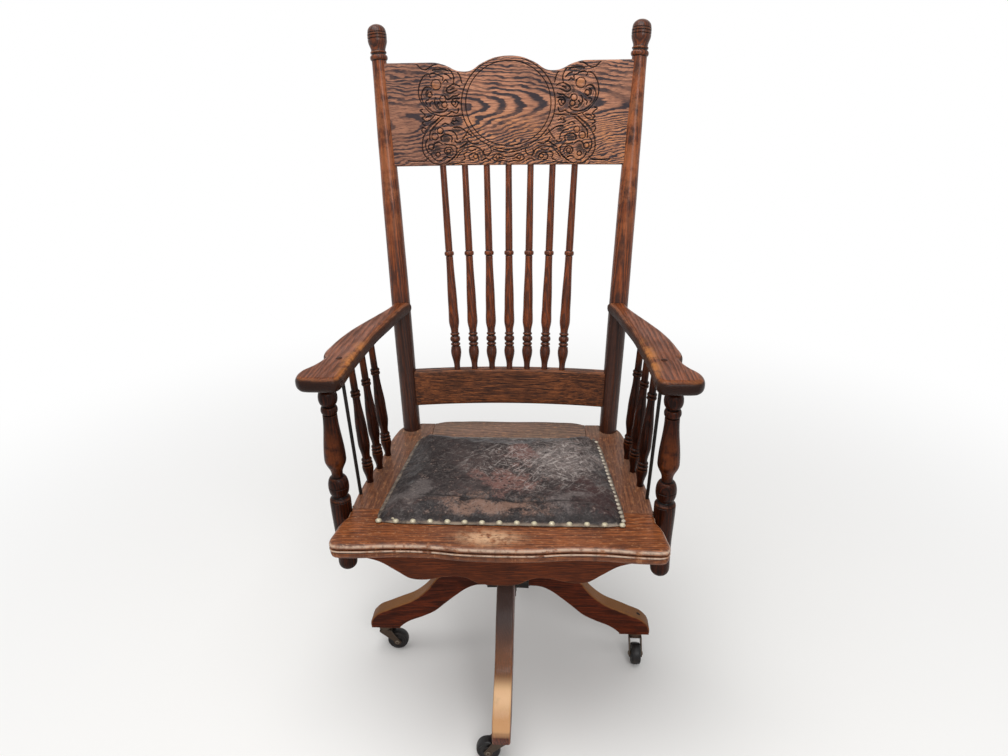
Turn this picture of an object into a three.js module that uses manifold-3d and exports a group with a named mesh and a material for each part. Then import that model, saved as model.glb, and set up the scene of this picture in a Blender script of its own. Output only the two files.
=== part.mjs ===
// Bankers swivel chair in oak, in millimetres, with +Z up and the front of the seat towards -Y.
// Left and right are as seen from the front. All heights are above the floor that the wheels stand on.
import * as THREE from "three";
import { mergeVertices } from "three/addons/utils/BufferGeometryUtils.js";
import Module from "manifold-3d";

const wasm = await Module();
wasm.setup();

// Clearances and fineness
const fitGap = 0.3;
const overrun = 3;
const coarseSides = 8;
const fineSides = 12;
const ironSides = 12;
const sides = { left: -1, right: 1 };

// Casters
const wheelRadius = 22.5;
const wheelWidth = 19;
const wheelSides = 20;
const wheelRoom = 6;
const casterTrail = 25;
const cheekThickness = 2.5;
const cheekGap = 1.2;
const crownRadius = 14;
const crownTopShare = 0.85;
const crownHeight = 11;
const bridgeFrontShare = 1;
const bridgeBackShare = 0.8;
const stemRadius = 4.5;
const stemLength = 30;
const casterAxleRadius = 3;
const casterAxleHead = 5;
const axleBossRadius = 8;

// Base
const legReach = 291;
const legRise = 194;
const legThickness = 33;
const legEase = 3;
const stemInset = 27;
const hubFlat = 42;
const hubLip = 6;
const hubBottomShare = 0.598;
const hubEase = 4;
const sleeveWall = 4.1;
const sleeveTail = 20;
const sleeveFlange = 31;
const sleeveFlangeHeight = 6;

// Height screw and its nut
const screwRadius = 12.3;
const screwInset = 7;
const nutHeight = 27;
const nutRadius = 40;
const nutLobes = 6;
const nutLobeDepth = 5;

// Tilt iron
const pivotRise = 106.4;
const axleRadius = 7;
const axleRoom = 9.5;
const axleHeadRadius = 10;
const axleHeadLength = 6;
const spiderThickness = 6;
const spiderLength = 190;
const spiderFrontShare = 0.6;
const spiderArmWidth = 24;
const lugSpacing = 54;
const lugThickness = 9;
const lugRadius = 15;
const barrelRadius = 15;
const bossRadius = 20;
const hookReach = 88;
const hookPinRadius = 4;
const hookLugSpacing = 14;
const hookLugThickness = 6;
const tiltAngle = 15;

// Tilt springs and their tension bolt
const springWire = 2.4;
const springRadius = 11;
const springRoom = 1.6;
const springLength = 54;
const springCurls = 6;
const springCurlGap = 0.8;
const yokeArmThickness = 12;
const yokeArmMargin = 3.6;
const yokeNeckWidth = 26;
const boltRadius = 6;
const boltTail = 5;
const springPlateThickness = 6;
const springPlateDepth = 32;
const knobRadius = 23;
const knobHeight = 20;

// Seat
const pivotDrop = 40;
const seatThickness = 28;
const seatFront = 277;
const seatBack = 140;
const frontHalfWidth = 268;
const sideTaper = 14;
const frontRailDepth = 105;
const sideRailWidth = 100;
const backRailDepth = 74;
const backRailBulge = 13;
const panelThickness = 14;
const mouldingDepth = 5;
const edgeEase = 2.5;

// Seat pad
const padFrontInset = 61;
const padBackInset = 60;
const padSideInset = 45;
const padTaper = 31;
const padEdge = 3;
const padCrown = 15;
const padCornerRadius = 14;
const padFlange = 10;

// Apron and cleat under the seat
const apronInset = 46;
const apronDepth = 54;
const apronThickness = 22;
const apronSetback = 15;
const cleatHalfWidth = 140;
const cleatDepth = 22;
const cleatWidth = 26;
const cleatGap = 3;

// Back posts and their lean
const postRadius = 18.25;
const postSideInset = 54.5;
const postBackInset = 20;
const postSplay = 40.5;
const postLean = 12.2;
const collarGap = 8;
const finialHeight = 60;
const postTenonRadius = 12;

// Crest rail, lower rail and back spindles
const crestRise = 506;
const crestWidth = 180;
const crestThickness = 20;
const crestBow = 10;
const crestDip = 17;
const crestDome = 10;
const railRise = 49;
const railWidth = 68;
const railThickness = 21;
const railBow = 17;
const railEase = 3;
const backSpindleCount = 7;
const backSpindleRadius = 10.3;
const backSpindleFootInset = 94;
const backSpindleTopInset = 114.5;
const backTenonRadius = 5;
const backTenonLength = 8;

// Arms, arm posts, side spindles and tension rods
const armRise = 257;
const armThickness = 25;
const armOverhang = 40;
const armHandReach = 41;
const armBackInset = 11.6;
const armEase = 5;
const armPostOverhang = 3;
const armPostSetback = 1;
const armPostRadius = 17.75;
const armPostDrop = 96;
const armTenonRadius = 8;
const armTenonLength = 12;
const sideSpindleRadius = 10.5;
const sideSpindleCount = 3;
const sideSpindleSetback = 85;
const sideSpindleSpacing = 47.5;
const sideSpindleInset = 9.5;
const sideSpindleLean = 13;
const sideTenonRadius = 5.5;
const sideTenonLength = 9;
const rodRadius = 3;
const rodSetback = 44;
const rodInset = 6;
const rodLean = 12;
const rodNutRadius = 7;
const rodNutHeight = 5;
const rodEnd = 3;
const rodCrownShare = 0.5;

// Heights worked out from the floor up
const up = new THREE.Vector3(0, 0, 1);
const wheelAxleHeight = wheelRadius * Math.cos(Math.PI / wheelSides);
const footHeight = 2 * wheelRadius + wheelRoom + crownHeight;
const hubTop = footHeight + legRise + hubLip;
const hubBottom = footHeight + hubBottomShare * legRise;
const sleeveBottom = hubBottom - sleeveTail;
const screwBottom = sleeveBottom + screwInset;
const nutBottom = hubTop + sleeveFlangeHeight + 2 * fitGap;
const nutTop = nutBottom + nutHeight;
const pivotHeight = nutTop + pivotRise;
const yokeBottom = nutTop + fitGap;
const yokeArmBottom = pivotHeight - barrelRadius - yokeArmThickness - fitGap;
const springBottom = yokeArmBottom - springLength - fitGap;
const springPlateBottom = springBottom - springPlateThickness - fitGap;
const knobBottom = springPlateBottom - knobHeight - fitGap;
const seatUnderside = pivotHeight + pivotDrop;
const seatHeight = seatUnderside + seatThickness;
const armTop = seatHeight + armRise;
const armUnderside = armTop - armThickness;
const armPostBottom = seatUnderside - armPostDrop;
const railBottom = seatHeight + railRise;
const railTop = railBottom + railWidth;
const crestBottom = seatHeight + crestRise;
const crestTop = crestBottom + crestWidth;
const collarHeight = crestTop + collarGap;

// Places worked out from the seat's edges and from the pieces that carry others
const cheekPlace = wheelWidth / 2 + cheekGap;
const stemReach = legReach - stemInset;
const hubCorner = hubFlat / Math.cos(Math.PI / coarseSides);
const sleeveRadius = screwRadius + 2 * fitGap + sleeveWall;
const sideHalfWidth = frontHalfWidth - sideTaper;
const railJoint = seatFront - frontRailDepth;
const panelHalfWidth = sideHalfWidth - sideRailWidth;
const panelBack = seatBack - backRailDepth;
const padFront = seatFront - padFrontInset;
const padBack = seatBack - padBackInset;
const padFrontHalf = sideHalfWidth - padSideInset;
const padBackHalf = padFrontHalf - padTaper;
const apronHalfWidth = frontHalfWidth - apronInset;
const cleatPlace = spiderLength * (1 - spiderFrontShare) + cleatGap + cleatWidth / 2;
const postFootX = sideHalfWidth - postSideInset;
const postFootY = seatBack - postBackInset;
const postTopX = postFootX + postSplay;
const leanSlope = Math.tan(THREE.MathUtils.degToRad(postLean));
const splaySlope = postSplay / (collarHeight - seatHeight);
const backSpindleFootSpread = postFootX - backSpindleFootInset;
const backSpindleTopSpread = postTopX - backSpindleTopInset;
const armPostX = frontHalfWidth + armPostOverhang;
const armPostY = railJoint - armPostSetback;
const armOuter = armPostX + armOverhang;
const armFront = armPostY + armHandReach;
const armLength = armFront + postFootY + leanSlope * armRise - armBackInset;
const sideSpindleFront = armPostY - sideSpindleSetback;
const rodPlace = armPostY - rodSetback;
const axleLength = 2 * (lugSpacing + axleRoom) + lugThickness;
const springSpacing = boltRadius + springRadius + springWire + springRoom;
const springDeadPitch = 2 * springWire + springCurlGap;
const yokeArmWidth = 2 * (springSpacing + springRadius + springWire + yokeArmMargin);

// Materials
function finish(color, roughness, metalness) {
  return new THREE.MeshStandardMaterial({ color, roughness, metalness });
}
const redOak = finish(0x5a2c18, 0.45, 0);
const seatOak = finish(0x6e4128, 0.5, 0);
const crestOak = finish(0x7a4a32, 0.5, 0);
const legOak = finish(0x7c3f20, 0.45, 0);
const hide = finish(0x2e2a28, 0.55, 0);
const blackIron = finish(0x1d1c1b, 0.55, 0.7);
const brownIron = finish(0x4a3f33, 0.5, 0.8);
const springSteel = finish(0x55514c, 0.4, 0.9);
const wheelBlack = finish(0x161514, 0.6, 0);

// Merges shared corners and drops the flat triangles that a turned form has on its axis.
function welded(geometry) {
  const bare = geometry.clone();
  bare.deleteAttribute("normal");
  bare.deleteAttribute("uv");
  const merged = mergeVertices(bare);
  const corners = merged.index.array;
  const kept = [];
  for (let i = 0; i < corners.length; i += 3) {
    const [a, b, c] = corners.slice(i, i + 3);
    if (a !== b && b !== c && a !== c) {
      kept.push(a, b, c);
    }
  }
  merged.setIndex(kept);
  return merged;
}

function solidOf(geometry) {
  const merged = welded(geometry);
  const vertProperties = new Float32Array(merged.attributes.position.array);
  const triVerts = new Uint32Array(merged.index.array);
  return new wasm.Manifold(new wasm.Mesh({ numProp: 3, vertProperties, triVerts }));
}

function geometryOf(solid) {
  const mesh = solid.getMesh();
  const geometry = new THREE.BufferGeometry();
  geometry.setAttribute("position", new THREE.BufferAttribute(mesh.vertProperties, 3));
  geometry.setIndex(new THREE.BufferAttribute(mesh.triVerts, 1));
  geometry.computeVertexNormals();
  return geometry;
}

function joined(...geometries) {
  return geometryOf(geometries.map(solidOf).reduce((whole, piece) => whole.add(piece)));
}

function cutFrom(geometry, ...tools) {
  return geometryOf(tools.map(solidOf).reduce((whole, tool) => whole.subtract(tool), solidOf(geometry)));
}

// Cuts a placed mesh by other placed meshes, each taken where it stands.
function carve(target, ...tools) {
  target.updateWorldMatrix(true, false);
  const toTarget = target.matrixWorld.clone().invert();
  const moved = tools.map((tool) => {
    tool.updateWorldMatrix(true, false);
    return tool.geometry.clone().applyMatrix4(toTarget.clone().multiply(tool.matrixWorld));
  });
  target.geometry = cutFrom(target.geometry, ...moved);
}

function piece(parent, name, geometry, material) {
  const mesh = new THREE.Mesh(geometry, material);
  mesh.name = name;
  parent.add(mesh);
  return mesh;
}

// A cutting tool stands in the same group as the piece that it makes room for, and is never shown.
function toolFor(mesh, geometry) {
  const tool = new THREE.Mesh(geometry);
  tool.position.copy(mesh.position);
  tool.quaternion.copy(mesh.quaternion);
  return tool;
}

function standBetween(mesh, foot, head) {
  mesh.position.copy(foot);
  mesh.quaternion.setFromUnitVectors(up, head.clone().sub(foot).normalize());
}

// Value on straight lines between listed pairs, whose first numbers rise.
function valueAt(pairs, key) {
  const after = Math.max(pairs.findIndex(([place]) => place >= key), 1);
  const [place0, value0] = pairs[after - 1];
  const [place1, value1] = pairs[after];
  return value0 + ((value1 - value0) * (key - place0)) / (place1 - place0);
}

// A turned form about +Z from pairs of height and radius.
function turned(profile, count) {
  const points = profile.map(([height, radius]) => new THREE.Vector2(radius, height));
  const first = new THREE.Vector2(0, points[0].y);
  const last = new THREE.Vector2(0, points.at(-1).y);
  return new THREE.LatheGeometry([first, ...points, last], count).rotateX(Math.PI / 2);
}

function turnedByShares(start, length, radius, shares, count) {
  const profile = shares.map(([heightShare, radiusShare]) => [
    start + heightShare * length,
    radiusShare * radius,
  ]);
  return turned(profile, count);
}

function rod(bottom, top, radius, count) {
  return turned([[bottom, radius], [top, radius]], count);
}

function rodAlongX(halfLength, radius, count) {
  return rod(-halfLength, halfLength, radius, count).rotateY(Math.PI / 2);
}

function box(width, depth, height, x, y, z) {
  return new THREE.BoxGeometry(width, depth, height).translate(x, y, z + height / 2);
}

// Joins rings of equal count into one closed skin. Flatten gives a ring's plane, seen from its far side.
function loft(sections, flatten) {
  const count = sections[0].length;
  const top = (sections.length - 1) * count;
  const faces = [];
  for (let row = 0; row + 1 < sections.length; row += 1) {
    for (let column = 0; column < count; column += 1) {
      const a = row * count + column;
      const b = row * count + ((column + 1) % count);
      faces.push(a, b, b + count, a, b + count, a + count);
    }
  }
  const firstCap = THREE.ShapeUtils.triangulateShape(sections[0].map(flatten), []);
  const lastCap = THREE.ShapeUtils.triangulateShape(sections.at(-1).map(flatten), []);
  firstCap.forEach(([a, b, c]) => faces.push(c, b, a));
  lastCap.forEach(([a, b, c]) => faces.push(top + a, top + b, top + c));
  const geometry = new THREE.BufferGeometry().setFromPoints(sections.flat());
  geometry.setIndex(faces);
  return geometry;
}

function insetBy(outline, depths) {
  return outline.map((point, i) => {
    const before = outline.at(i - 1);
    const after = outline[(i + 1) % outline.length];
    const along = after.clone().sub(before).normalize();
    return new THREE.Vector2(point.x - along.y * depths[i], point.y + along.x * depths[i]);
  });
}

// A board with a shaped edge: its plan outline is drawn in by each layer's depth at that layer's height.
// Freedom is 1 where the edge is shaped and 0 where the outline stays put.
function board(outline, layers, freedom = outline.map(() => 1)) {
  const sections = layers.map(([height, depth]) => {
    const ring = insetBy(outline, freedom.map((share) => share * depth));
    return ring.map((point) => new THREE.Vector3(point.x, point.y, height));
  });
  return loft(sections, (corner) => new THREE.Vector2(corner.x, corner.y));
}

// Outlines are listed for the right side. The left one is mirrored and turned round to stay closed outwards.
function onSide(points, side) {
  const placed = points.map(([x, y]) => new THREE.Vector2(side * x, y));
  return side > 0 ? placed : placed.reverse();
}

function throughPoints(points, count) {
  const curve = new THREE.SplineCurve(points.map(([x, y]) => new THREE.Vector2(x, y)));
  return curve.getPoints(count).map((point) => [point.x, point.y]);
}

function postCentre(height) {
  const rise = height - seatHeight;
  return new THREE.Vector3(postFootX + splaySlope * rise, postFootY + leanSlope * rise, height);
}

// Front edge of the seat: x as a share of the half width, y as a share of the reach to the front.
const frontEdgeShares = [[0, 1], [0.2, 0.995], [0.42, 0.973], [0.62, 0.972], [0.84, 0.988], [0.94, 0.99]];
const earShares = [[0.985, 0.978], [1, 0.955], [0.996, 0.86], [0.978, 0.76], [0.952, 0.7]];
const frontEdgeSteps = 10;

function frontRailOutline() {
  const toPoint = ([xShare, yShare]) => [xShare * frontHalfWidth, -yShare * seatFront];
  const edge = throughPoints(frontEdgeShares.map(toPoint), frontEdgeSteps);
  const ear = earShares.map(toPoint);
  const right = [...edge, ...ear, [sideHalfWidth, -railJoint]];
  const left = right.slice(1).reverse().map(([x, y]) => [-x, y]);
  return onSide([...left, ...right], 1);
}

// Edge layers: height as a share of the seat's thickness, depth as a share of the moulding's.
const frontMouldingShares = [
  [0, 0.9], [0.14, 0.3], [0.36, 0.1], [0.5, 1], [0.6, 0.4], [0.74, 0], [0.9, 0.3], [1, 1.1],
];
const easedShares = [[0, 1], [0.1, 0], [0.9, 0], [1, 1]];

function layersBy(shares, bottom, thickness, depth) {
  return shares.map(([heightShare, depthShare]) => [bottom + heightShare * thickness, depthShare * depth]);
}

function buildFrontRail(parent) {
  const outline = frontRailOutline();
  const freedom = outline.map((point) => (point.y > -railJoint - fitGap ? 0 : 1));
  const layers = layersBy(frontMouldingShares, seatUnderside, seatThickness, mouldingDepth);
  return piece(parent, "seat_front_rail", board(outline, layers, freedom), seatOak);
}

// Side rail: outer edge as shares of the run from the rail joint to the back and of the side half width.
const sideEdgeShares = [
  [0, 1], [0.15, 0.996], [0.28, 0.984], [0.43, 0.955], [0.58, 0.932], [0.84, 0.902], [0.925, 0.876],
  [0.985, 0.83],
];

function sideEdgeAt(y) {
  const front = -railJoint + fitGap;
  return sideHalfWidth * valueAt(sideEdgeShares, (y - front) / (seatBack - front));
}

function buildSideRail(parent, name, side) {
  const front = -railJoint + fitGap;
  const run = seatBack - front;
  const outer = sideEdgeShares.map(([runShare, xShare]) => [xShare * sideHalfWidth, front + runShare * run]);
  const inner = panelHalfWidth + fitGap;
  const corner = postFootX - postRadius;
  const outline = onSide([[inner, front], ...outer, [corner, seatBack], [inner, seatBack]], side);
  const outerEdge = (point) => Math.abs(point.x) > corner && point.y > front;
  const freedom = outline.map((point) => (outerEdge(point) ? 1 : 0));
  const layers = layersBy(easedShares, seatUnderside, seatThickness, edgeEase);
  return piece(parent, `seat_${name}_rail`, board(outline, layers, freedom), seatOak);
}

const backEdgeShares = [[1, 0], [0.95, 0.4], [0.6, 1], [0.3, 1]];

function buildBackRail(parent) {
  const front = panelBack + fitGap;
  const curved = backEdgeShares.map(([xShare, bulgeShare]) => [
    xShare * panelHalfWidth,
    seatBack + bulgeShare * backRailBulge,
  ]);
  const mirrored = curved.slice().reverse().map(([x, y]) => [-x, y]);
  const outline = onSide([[-panelHalfWidth, front], [panelHalfWidth, front], ...curved, ...mirrored], 1);
  const freedom = outline.map((point) => (point.y > seatBack ? 1 : 0));
  const layers = layersBy(easedShares, seatUnderside, seatThickness, edgeEase);
  return piece(parent, "seat_back_rail", board(outline, layers, freedom), seatOak);
}

function buildSeatPanel(parent) {
  const length = panelBack + railJoint - fitGap;
  const centre = (panelBack - railJoint + fitGap) / 2;
  const bottom = seatHeight - panelThickness;
  const panel = box(2 * panelHalfWidth, length, panelThickness, 0, centre, bottom);
  return piece(parent, "seat_panel", panel, seatOak);
}

// Pad rings: how far each ring lies in from the edge, and its height, as shares of the flange and the crown.
const padRingShares = [[0, 0], [0, 0.6], [0.25, 1], [1, 1]];
const padCrownShares = [[0.06, 0.36], [0.15, 0.66], [0.3, 0.86], [0.52, 0.97], [0.8, 1]];
const padCornerSteps = 3;
const padSideSteps = 4;

function padOutline() {
  const corners = [
    [padFrontHalf, -padFront],
    [padBackHalf, padBack],
    [-padBackHalf, padBack],
    [-padFrontHalf, -padFront],
  ];
  const quarter = Math.PI / 2;
  const points = [];
  corners.forEach(([x, y], turn) => {
    const centreX = x - Math.sign(x) * padCornerRadius;
    const centreY = y - Math.sign(y) * padCornerRadius;
    for (let step = 0; step <= padCornerSteps; step += 1) {
      const angle = (turn - 1 + step / padCornerSteps) * quarter;
      const outX = padCornerRadius * Math.cos(angle);
      const outY = padCornerRadius * Math.sin(angle);
      points.push(new THREE.Vector2(centreX + outX, centreY + outY));
    }
  });
  return points.flatMap((point, i) => {
    const next = points[(i + 1) % points.length];
    const isSide = (i + 1) % (padCornerSteps + 1) === 0;
    const count = isSide ? padSideSteps : 1;
    return Array.from({ length: count }, (_, step) => point.clone().lerp(next, step / count));
  });
}

function buildPad(parent) {
  const outline = padOutline();
  const bottom = seatHeight + fitGap;
  const centre = new THREE.Vector2(0, (padBack - padFront) / 2);
  const atHeight = (ring, height) => ring.map((p) => new THREE.Vector3(p.x, p.y, height));
  const edgeRings = padRingShares.map(([insetShare, heightShare]) => {
    const ring = insetBy(outline, outline.map(() => insetShare * padFlange));
    return atHeight(ring, bottom + heightShare * padEdge);
  });
  const flange = insetBy(outline, outline.map(() => padFlange));
  const crownRings = padCrownShares.map(([drawShare, crownShare]) => {
    const ring = flange.map((p) => p.clone().lerp(centre, drawShare));
    return atHeight(ring, bottom + padEdge + crownShare * padCrown);
  });
  const skin = loft([...edgeRings, ...crownRings], (corner) => new THREE.Vector2(corner.x, corner.y));
  return piece(parent, "seat_leather", skin, hide);
}

// Apron: scalloped lower edge, x as a share of its half width, drop as a share of its depth.
const apronSlopeShares = [[1, 0.05], [0.86, 0.22], [0.74, 0.55], [0.64, 0.82], [0.55, 0.86], [0.46, 0.8]];
const apronScallopShares = [[0.38, 0.72], [0.3, 0.7], [0.23, 0.76], [0.15, 0.94], [0.07, 1], [0, 1]];
const apronSteps = 8;

function buildApron(parent) {
  const top = seatUnderside - fitGap;
  const toPoint = ([xShare, dropShare]) => [xShare * apronHalfWidth, top - dropShare * apronDepth];
  const slope = throughPoints(apronSlopeShares.map(toPoint), apronSteps);
  const scallop = throughPoints(apronScallopShares.map(toPoint), apronSteps);
  const right = [[apronHalfWidth, top], ...slope, ...scallop];
  const left = right.slice(0, -1).reverse().map(([x, z]) => [-x, z]);
  const shape = new THREE.Shape(onSide([...right, ...left], 1));
  const bar = new THREE.ExtrudeGeometry(shape, { depth: apronThickness, bevelEnabled: false });
  const apron = piece(parent, "seat_apron", bar, seatOak);
  apron.rotation.x = Math.PI / 2;
  apron.position.y = -seatFront + apronSetback + apronThickness;
  return apron;
}

function buildCleat(parent) {
  const bottom = seatUnderside - fitGap - cleatDepth;
  const cleat = box(2 * cleatHalfWidth, cleatWidth, cleatDepth, 0, cleatPlace, bottom);
  return piece(parent, "seat_rear_cleat", cleat, seatOak);
}

// Back post: height as a share of the run from the seat to the collar, radius as a share of the post's.
const postShares = [
  [0, 0.95], [0.34, 1], [0.62, 0.95], [0.76, 0.88], [0.955, 0.74], [0.968, 0.87], [1, 0.88], [1.012, 0.74],
];
const finialShares = [
  [0.28, 0.7], [0.36, 0.9], [0.48, 0.98], [0.5, 0.9], [0.53, 0.99], [0.66, 0.97], [0.69, 0.87], [0.86, 0.74],
  [0.96, 0.4], [1, 0.08],
];

function buildBackPost(parent, name, side) {
  const foot = postCentre(seatHeight);
  const head = postCentre(collarHeight);
  const length = foot.distanceTo(head);
  foot.x *= side;
  head.x *= side;
  const shoulder = fitGap + postRadius * Math.tan(THREE.MathUtils.degToRad(postLean));
  const shaft = postShares.map(([heightShare, radiusShare]) => [
    Math.max(heightShare * length, shoulder),
    radiusShare * postRadius,
  ]);
  const finial = finialShares.map(([heightShare, radiusShare]) => [
    length + heightShare * finialHeight,
    radiusShare * postRadius,
  ]);
  const tenon = [[-panelThickness, postTenonRadius], [shoulder, postTenonRadius]];
  const post = piece(parent, `back_post_${name}`, turned([...tenon, ...shaft, ...finial], fineSides), redOak);
  standBetween(post, foot, head);
  return post;
}

function backPostTool(post) {
  const length = postCentre(seatHeight).distanceTo(postCentre(collarHeight));
  const grown = postShares.map(([heightShare, radiusShare]) => [
    heightShare * length,
    radiusShare * postRadius + fitGap,
  ]);
  return toolFor(post, turned(grown, fineSides));
}

function postTenonTool(post) {
  return toolFor(post, rod(-panelThickness - fitGap, seatThickness, postTenonRadius + fitGap, fineSides));
}

// Crest rail: top edge outwards from the middle, as shares of its half length and of the dome or the dip.
const crestDomeShares = [[0, 1], [0.06, 0.92], [0.12, 0.65], [0.175, 0.1]];
const crestDipShares = [
  [0.22, -0.2], [0.28, -0.85], [0.345, -1], [0.42, -0.85], [0.48, -0.35], [0.57, 0], [0.8, 0], [1, 0],
];

function crestTopAt(xShare) {
  const dome = crestDomeShares.map(([place, share]) => [place, share * crestDome]);
  const dip = crestDipShares.map(([place, share]) => [place, share * crestDip]);
  return crestTop + valueAt([...dome, ...dip], xShare);
}

function bowed(xShare, bow) {
  return bow * (1 - xShare * xShare);
}

// One bowed board between the posts. Its ends reach into the posts' line and are cut to them later.
function bowedBoard(stations, bottom, topAt, thickness, bow, ease) {
  const halfAt = (height) => postCentre(height).x;
  const faceAt = (height) => postCentre(height).y;
  const sections = stations.map((xShare) => {
    const top = topAt(Math.abs(xShare));
    const back = bowed(xShare, bow);
    const corner = (height, depth) => new THREE.Vector3(
      xShare * halfAt(height),
      faceAt(height) + back + depth,
      height,
    );
    const half = thickness / 2;
    return [
      corner(bottom, -half + ease),
      corner(bottom, half - ease),
      corner(bottom + ease, half),
      corner(top - ease, half),
      corner(top, half - ease),
      corner(top, -half + ease),
      corner(top - ease, -half),
      corner(bottom + ease, -half),
    ];
  });
  return loft(sections, (corner) => new THREE.Vector2(corner.y, corner.z));
}

function buildCrest(parent) {
  const right = [...crestDomeShares, ...crestDipShares].map(([xShare]) => xShare);
  const left = right.slice(1).reverse().map((share) => -share);
  const stations = [...left, ...right];
  const crest = bowedBoard(stations, crestBottom, crestTopAt, crestThickness, crestBow, railEase);
  return piece(parent, "crest_rail", crest, crestOak);
}

const lowerRailSteps = 8;

function buildLowerRail(parent) {
  const stations = Array.from({ length: lowerRailSteps + 1 }, (_, i) => (2 * i) / lowerRailSteps - 1);
  const rail = bowedBoard(stations, railBottom, () => railTop, railThickness, railBow, railEase);
  return piece(parent, "lower_back_rail", rail, crestOak);
}

const backSpindleShares = [
  [0, 0.57], [0.11, 1], [0.13, 0.76], [0.145, 0.92], [0.165, 0.92], [0.18, 0.72], [0.246, 1], [0.32, 0.93],
  [0.562, 0.64], [0.572, 0.87], [0.592, 0.87], [0.602, 0.62], [1, 0.6],
];

function backLinePoint(x, height, xShare, bow) {
  return new THREE.Vector3(x, postCentre(height).y + bowed(xShare, bow), height);
}

function withTenons(profile, length, radius, tenonLength) {
  const lower = [[-tenonLength, radius], [profile[0][0], radius]];
  const upper = [[profile.at(-1)[0], radius], [length + tenonLength, radius]];
  return [...lower, ...profile, ...upper];
}

function buildBackSpindle(parent, number) {
  const place = (2 * number) / (backSpindleCount - 1) - 1;
  const footX = place * backSpindleFootSpread;
  const headX = place * backSpindleTopSpread;
  const foot = backLinePoint(footX, railTop, footX / postCentre(railTop).x, railBow);
  const head = backLinePoint(headX, crestBottom, headX / postCentre(crestBottom).x, crestBow);
  const length = foot.distanceTo(head);
  const shoulder = 2 * fitGap + backSpindleRadius * Math.sin(Math.atan(leanSlope));
  const run = length - 2 * shoulder;
  const shaft = backSpindleShares.map(([heightShare, radiusShare]) => [
    shoulder + heightShare * run,
    radiusShare * backSpindleRadius,
  ]);
  const profile = withTenons(shaft, length, backTenonRadius, backTenonLength);
  const name = `back_spindle_${number + 1}`;
  const spindle = piece(parent, name, turned(profile, coarseSides), redOak);
  standBetween(spindle, foot, head);
  spindle.userData.length = length;
  return spindle;
}

function spindleTool(spindle, radius, tenonLength) {
  const reach = tenonLength + fitGap;
  return toolFor(spindle, rod(-reach, spindle.userData.length + reach, radius + fitGap, coarseSides));
}

// Arm plan, front to back: share of the arm's length, and of the half width over the arms.
const armHandShares = [[0.2, 0.935], [0.16, 0.955], [0.105, 0.992], [0.05, 1], [0.012, 0.988]];
const armFrontShares = [[0, 0.965], [0, 0.785], [0.008, 0.768]];
const armInnerShares = [
  [0.035, 0.76], [0.19, 0.758], [0.42, 0.737], [0.56, 0.72], [0.73, 0.685], [0.93, 0.641], [1, 0.617],
];
const armRearShares = [
  [1, 0.727], [0.93, 0.742], [0.81, 0.79], [0.71, 0.835], [0.575, 0.89], [0.4, 0.932], [0.29, 0.939],
  [0.25, 0.92],
];
const armEdgeShares = [[0, 0.8], [0.2, 0], [0.72, 0], [0.9, 0.3], [1, 1]];
const armRearSteps = 9;
const armInnerSteps = 7;

function buildArm(parent, name, side) {
  const toPoint = ([lengthShare, widthShare]) => [widthShare * armOuter, -armFront + lengthShare * armLength];
  const rear = throughPoints(armRearShares.map(toPoint), armRearSteps).reverse();
  const inner = throughPoints(armInnerShares.map(toPoint), armInnerSteps).reverse();
  const front = [...armHandShares, ...armFrontShares].map(toPoint).reverse();
  const outline = onSide([...rear, ...inner, ...front], side);
  const layers = layersBy(armEdgeShares, armUnderside, armThickness, armEase);
  return piece(parent, `arm_${name}`, board(outline, layers), redOak);
}

// Arm post: height as a share of the run from the knob to the arm, radius as a share of the post's.
const armPostShares = [
  [0, 0.35], [0.012, 0.7], [0.04, 0.91], [0.17, 0.88], [0.385, 1], [0.412, 0.97], [0.42, 0.66], [0.445, 0.92],
  [0.475, 0.97], [0.505, 0.88], [0.522, 0.52], [0.545, 0.52], [0.585, 0.9], [0.62, 1], [0.66, 0.95],
  [0.75, 0.76], [0.852, 0.66], [0.862, 0.52], [0.87, 0.72], [0.888, 0.74], [0.9, 0.52], [0.925, 0.53],
  [0.953, 0.85], [0.985, 0.85], [0.992, 0.6],
];

function buildArmPost(parent, name, side) {
  const run = armUnderside - fitGap - armPostBottom;
  const shaft = armPostShares.map(([heightShare, radiusShare]) => [
    heightShare * run,
    radiusShare * armPostRadius,
  ]);
  const tenon = [[run, armTenonRadius], [run + armTenonLength, armTenonRadius]];
  const post = piece(parent, `arm_post_${name}`, turned([...shaft, ...tenon], fineSides), redOak);
  post.position.set(side * armPostX, -armPostY, armPostBottom);
  return post;
}

function armPostTool(post) {
  const run = armUnderside - fitGap - armPostBottom;
  const grown = armPostShares.map(([heightShare, radiusShare]) => [
    heightShare * run,
    radiusShare * armPostRadius + fitGap,
  ]);
  const hole = rod(overrun, run + armTenonLength + fitGap, armTenonRadius + fitGap, fineSides);
  return toolFor(post, joined(turned(grown, fineSides), hole));
}

const sideSpindleShares = [
  [0, 0.55], [0.14, 0.95], [0.165, 0.7], [0.19, 0.9], [0.215, 0.66], [0.3, 0.98], [0.38, 1], [0.73, 0.6],
  [0.745, 0.82], [0.77, 0.82], [0.785, 0.58], [1, 0.55],
];

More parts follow.
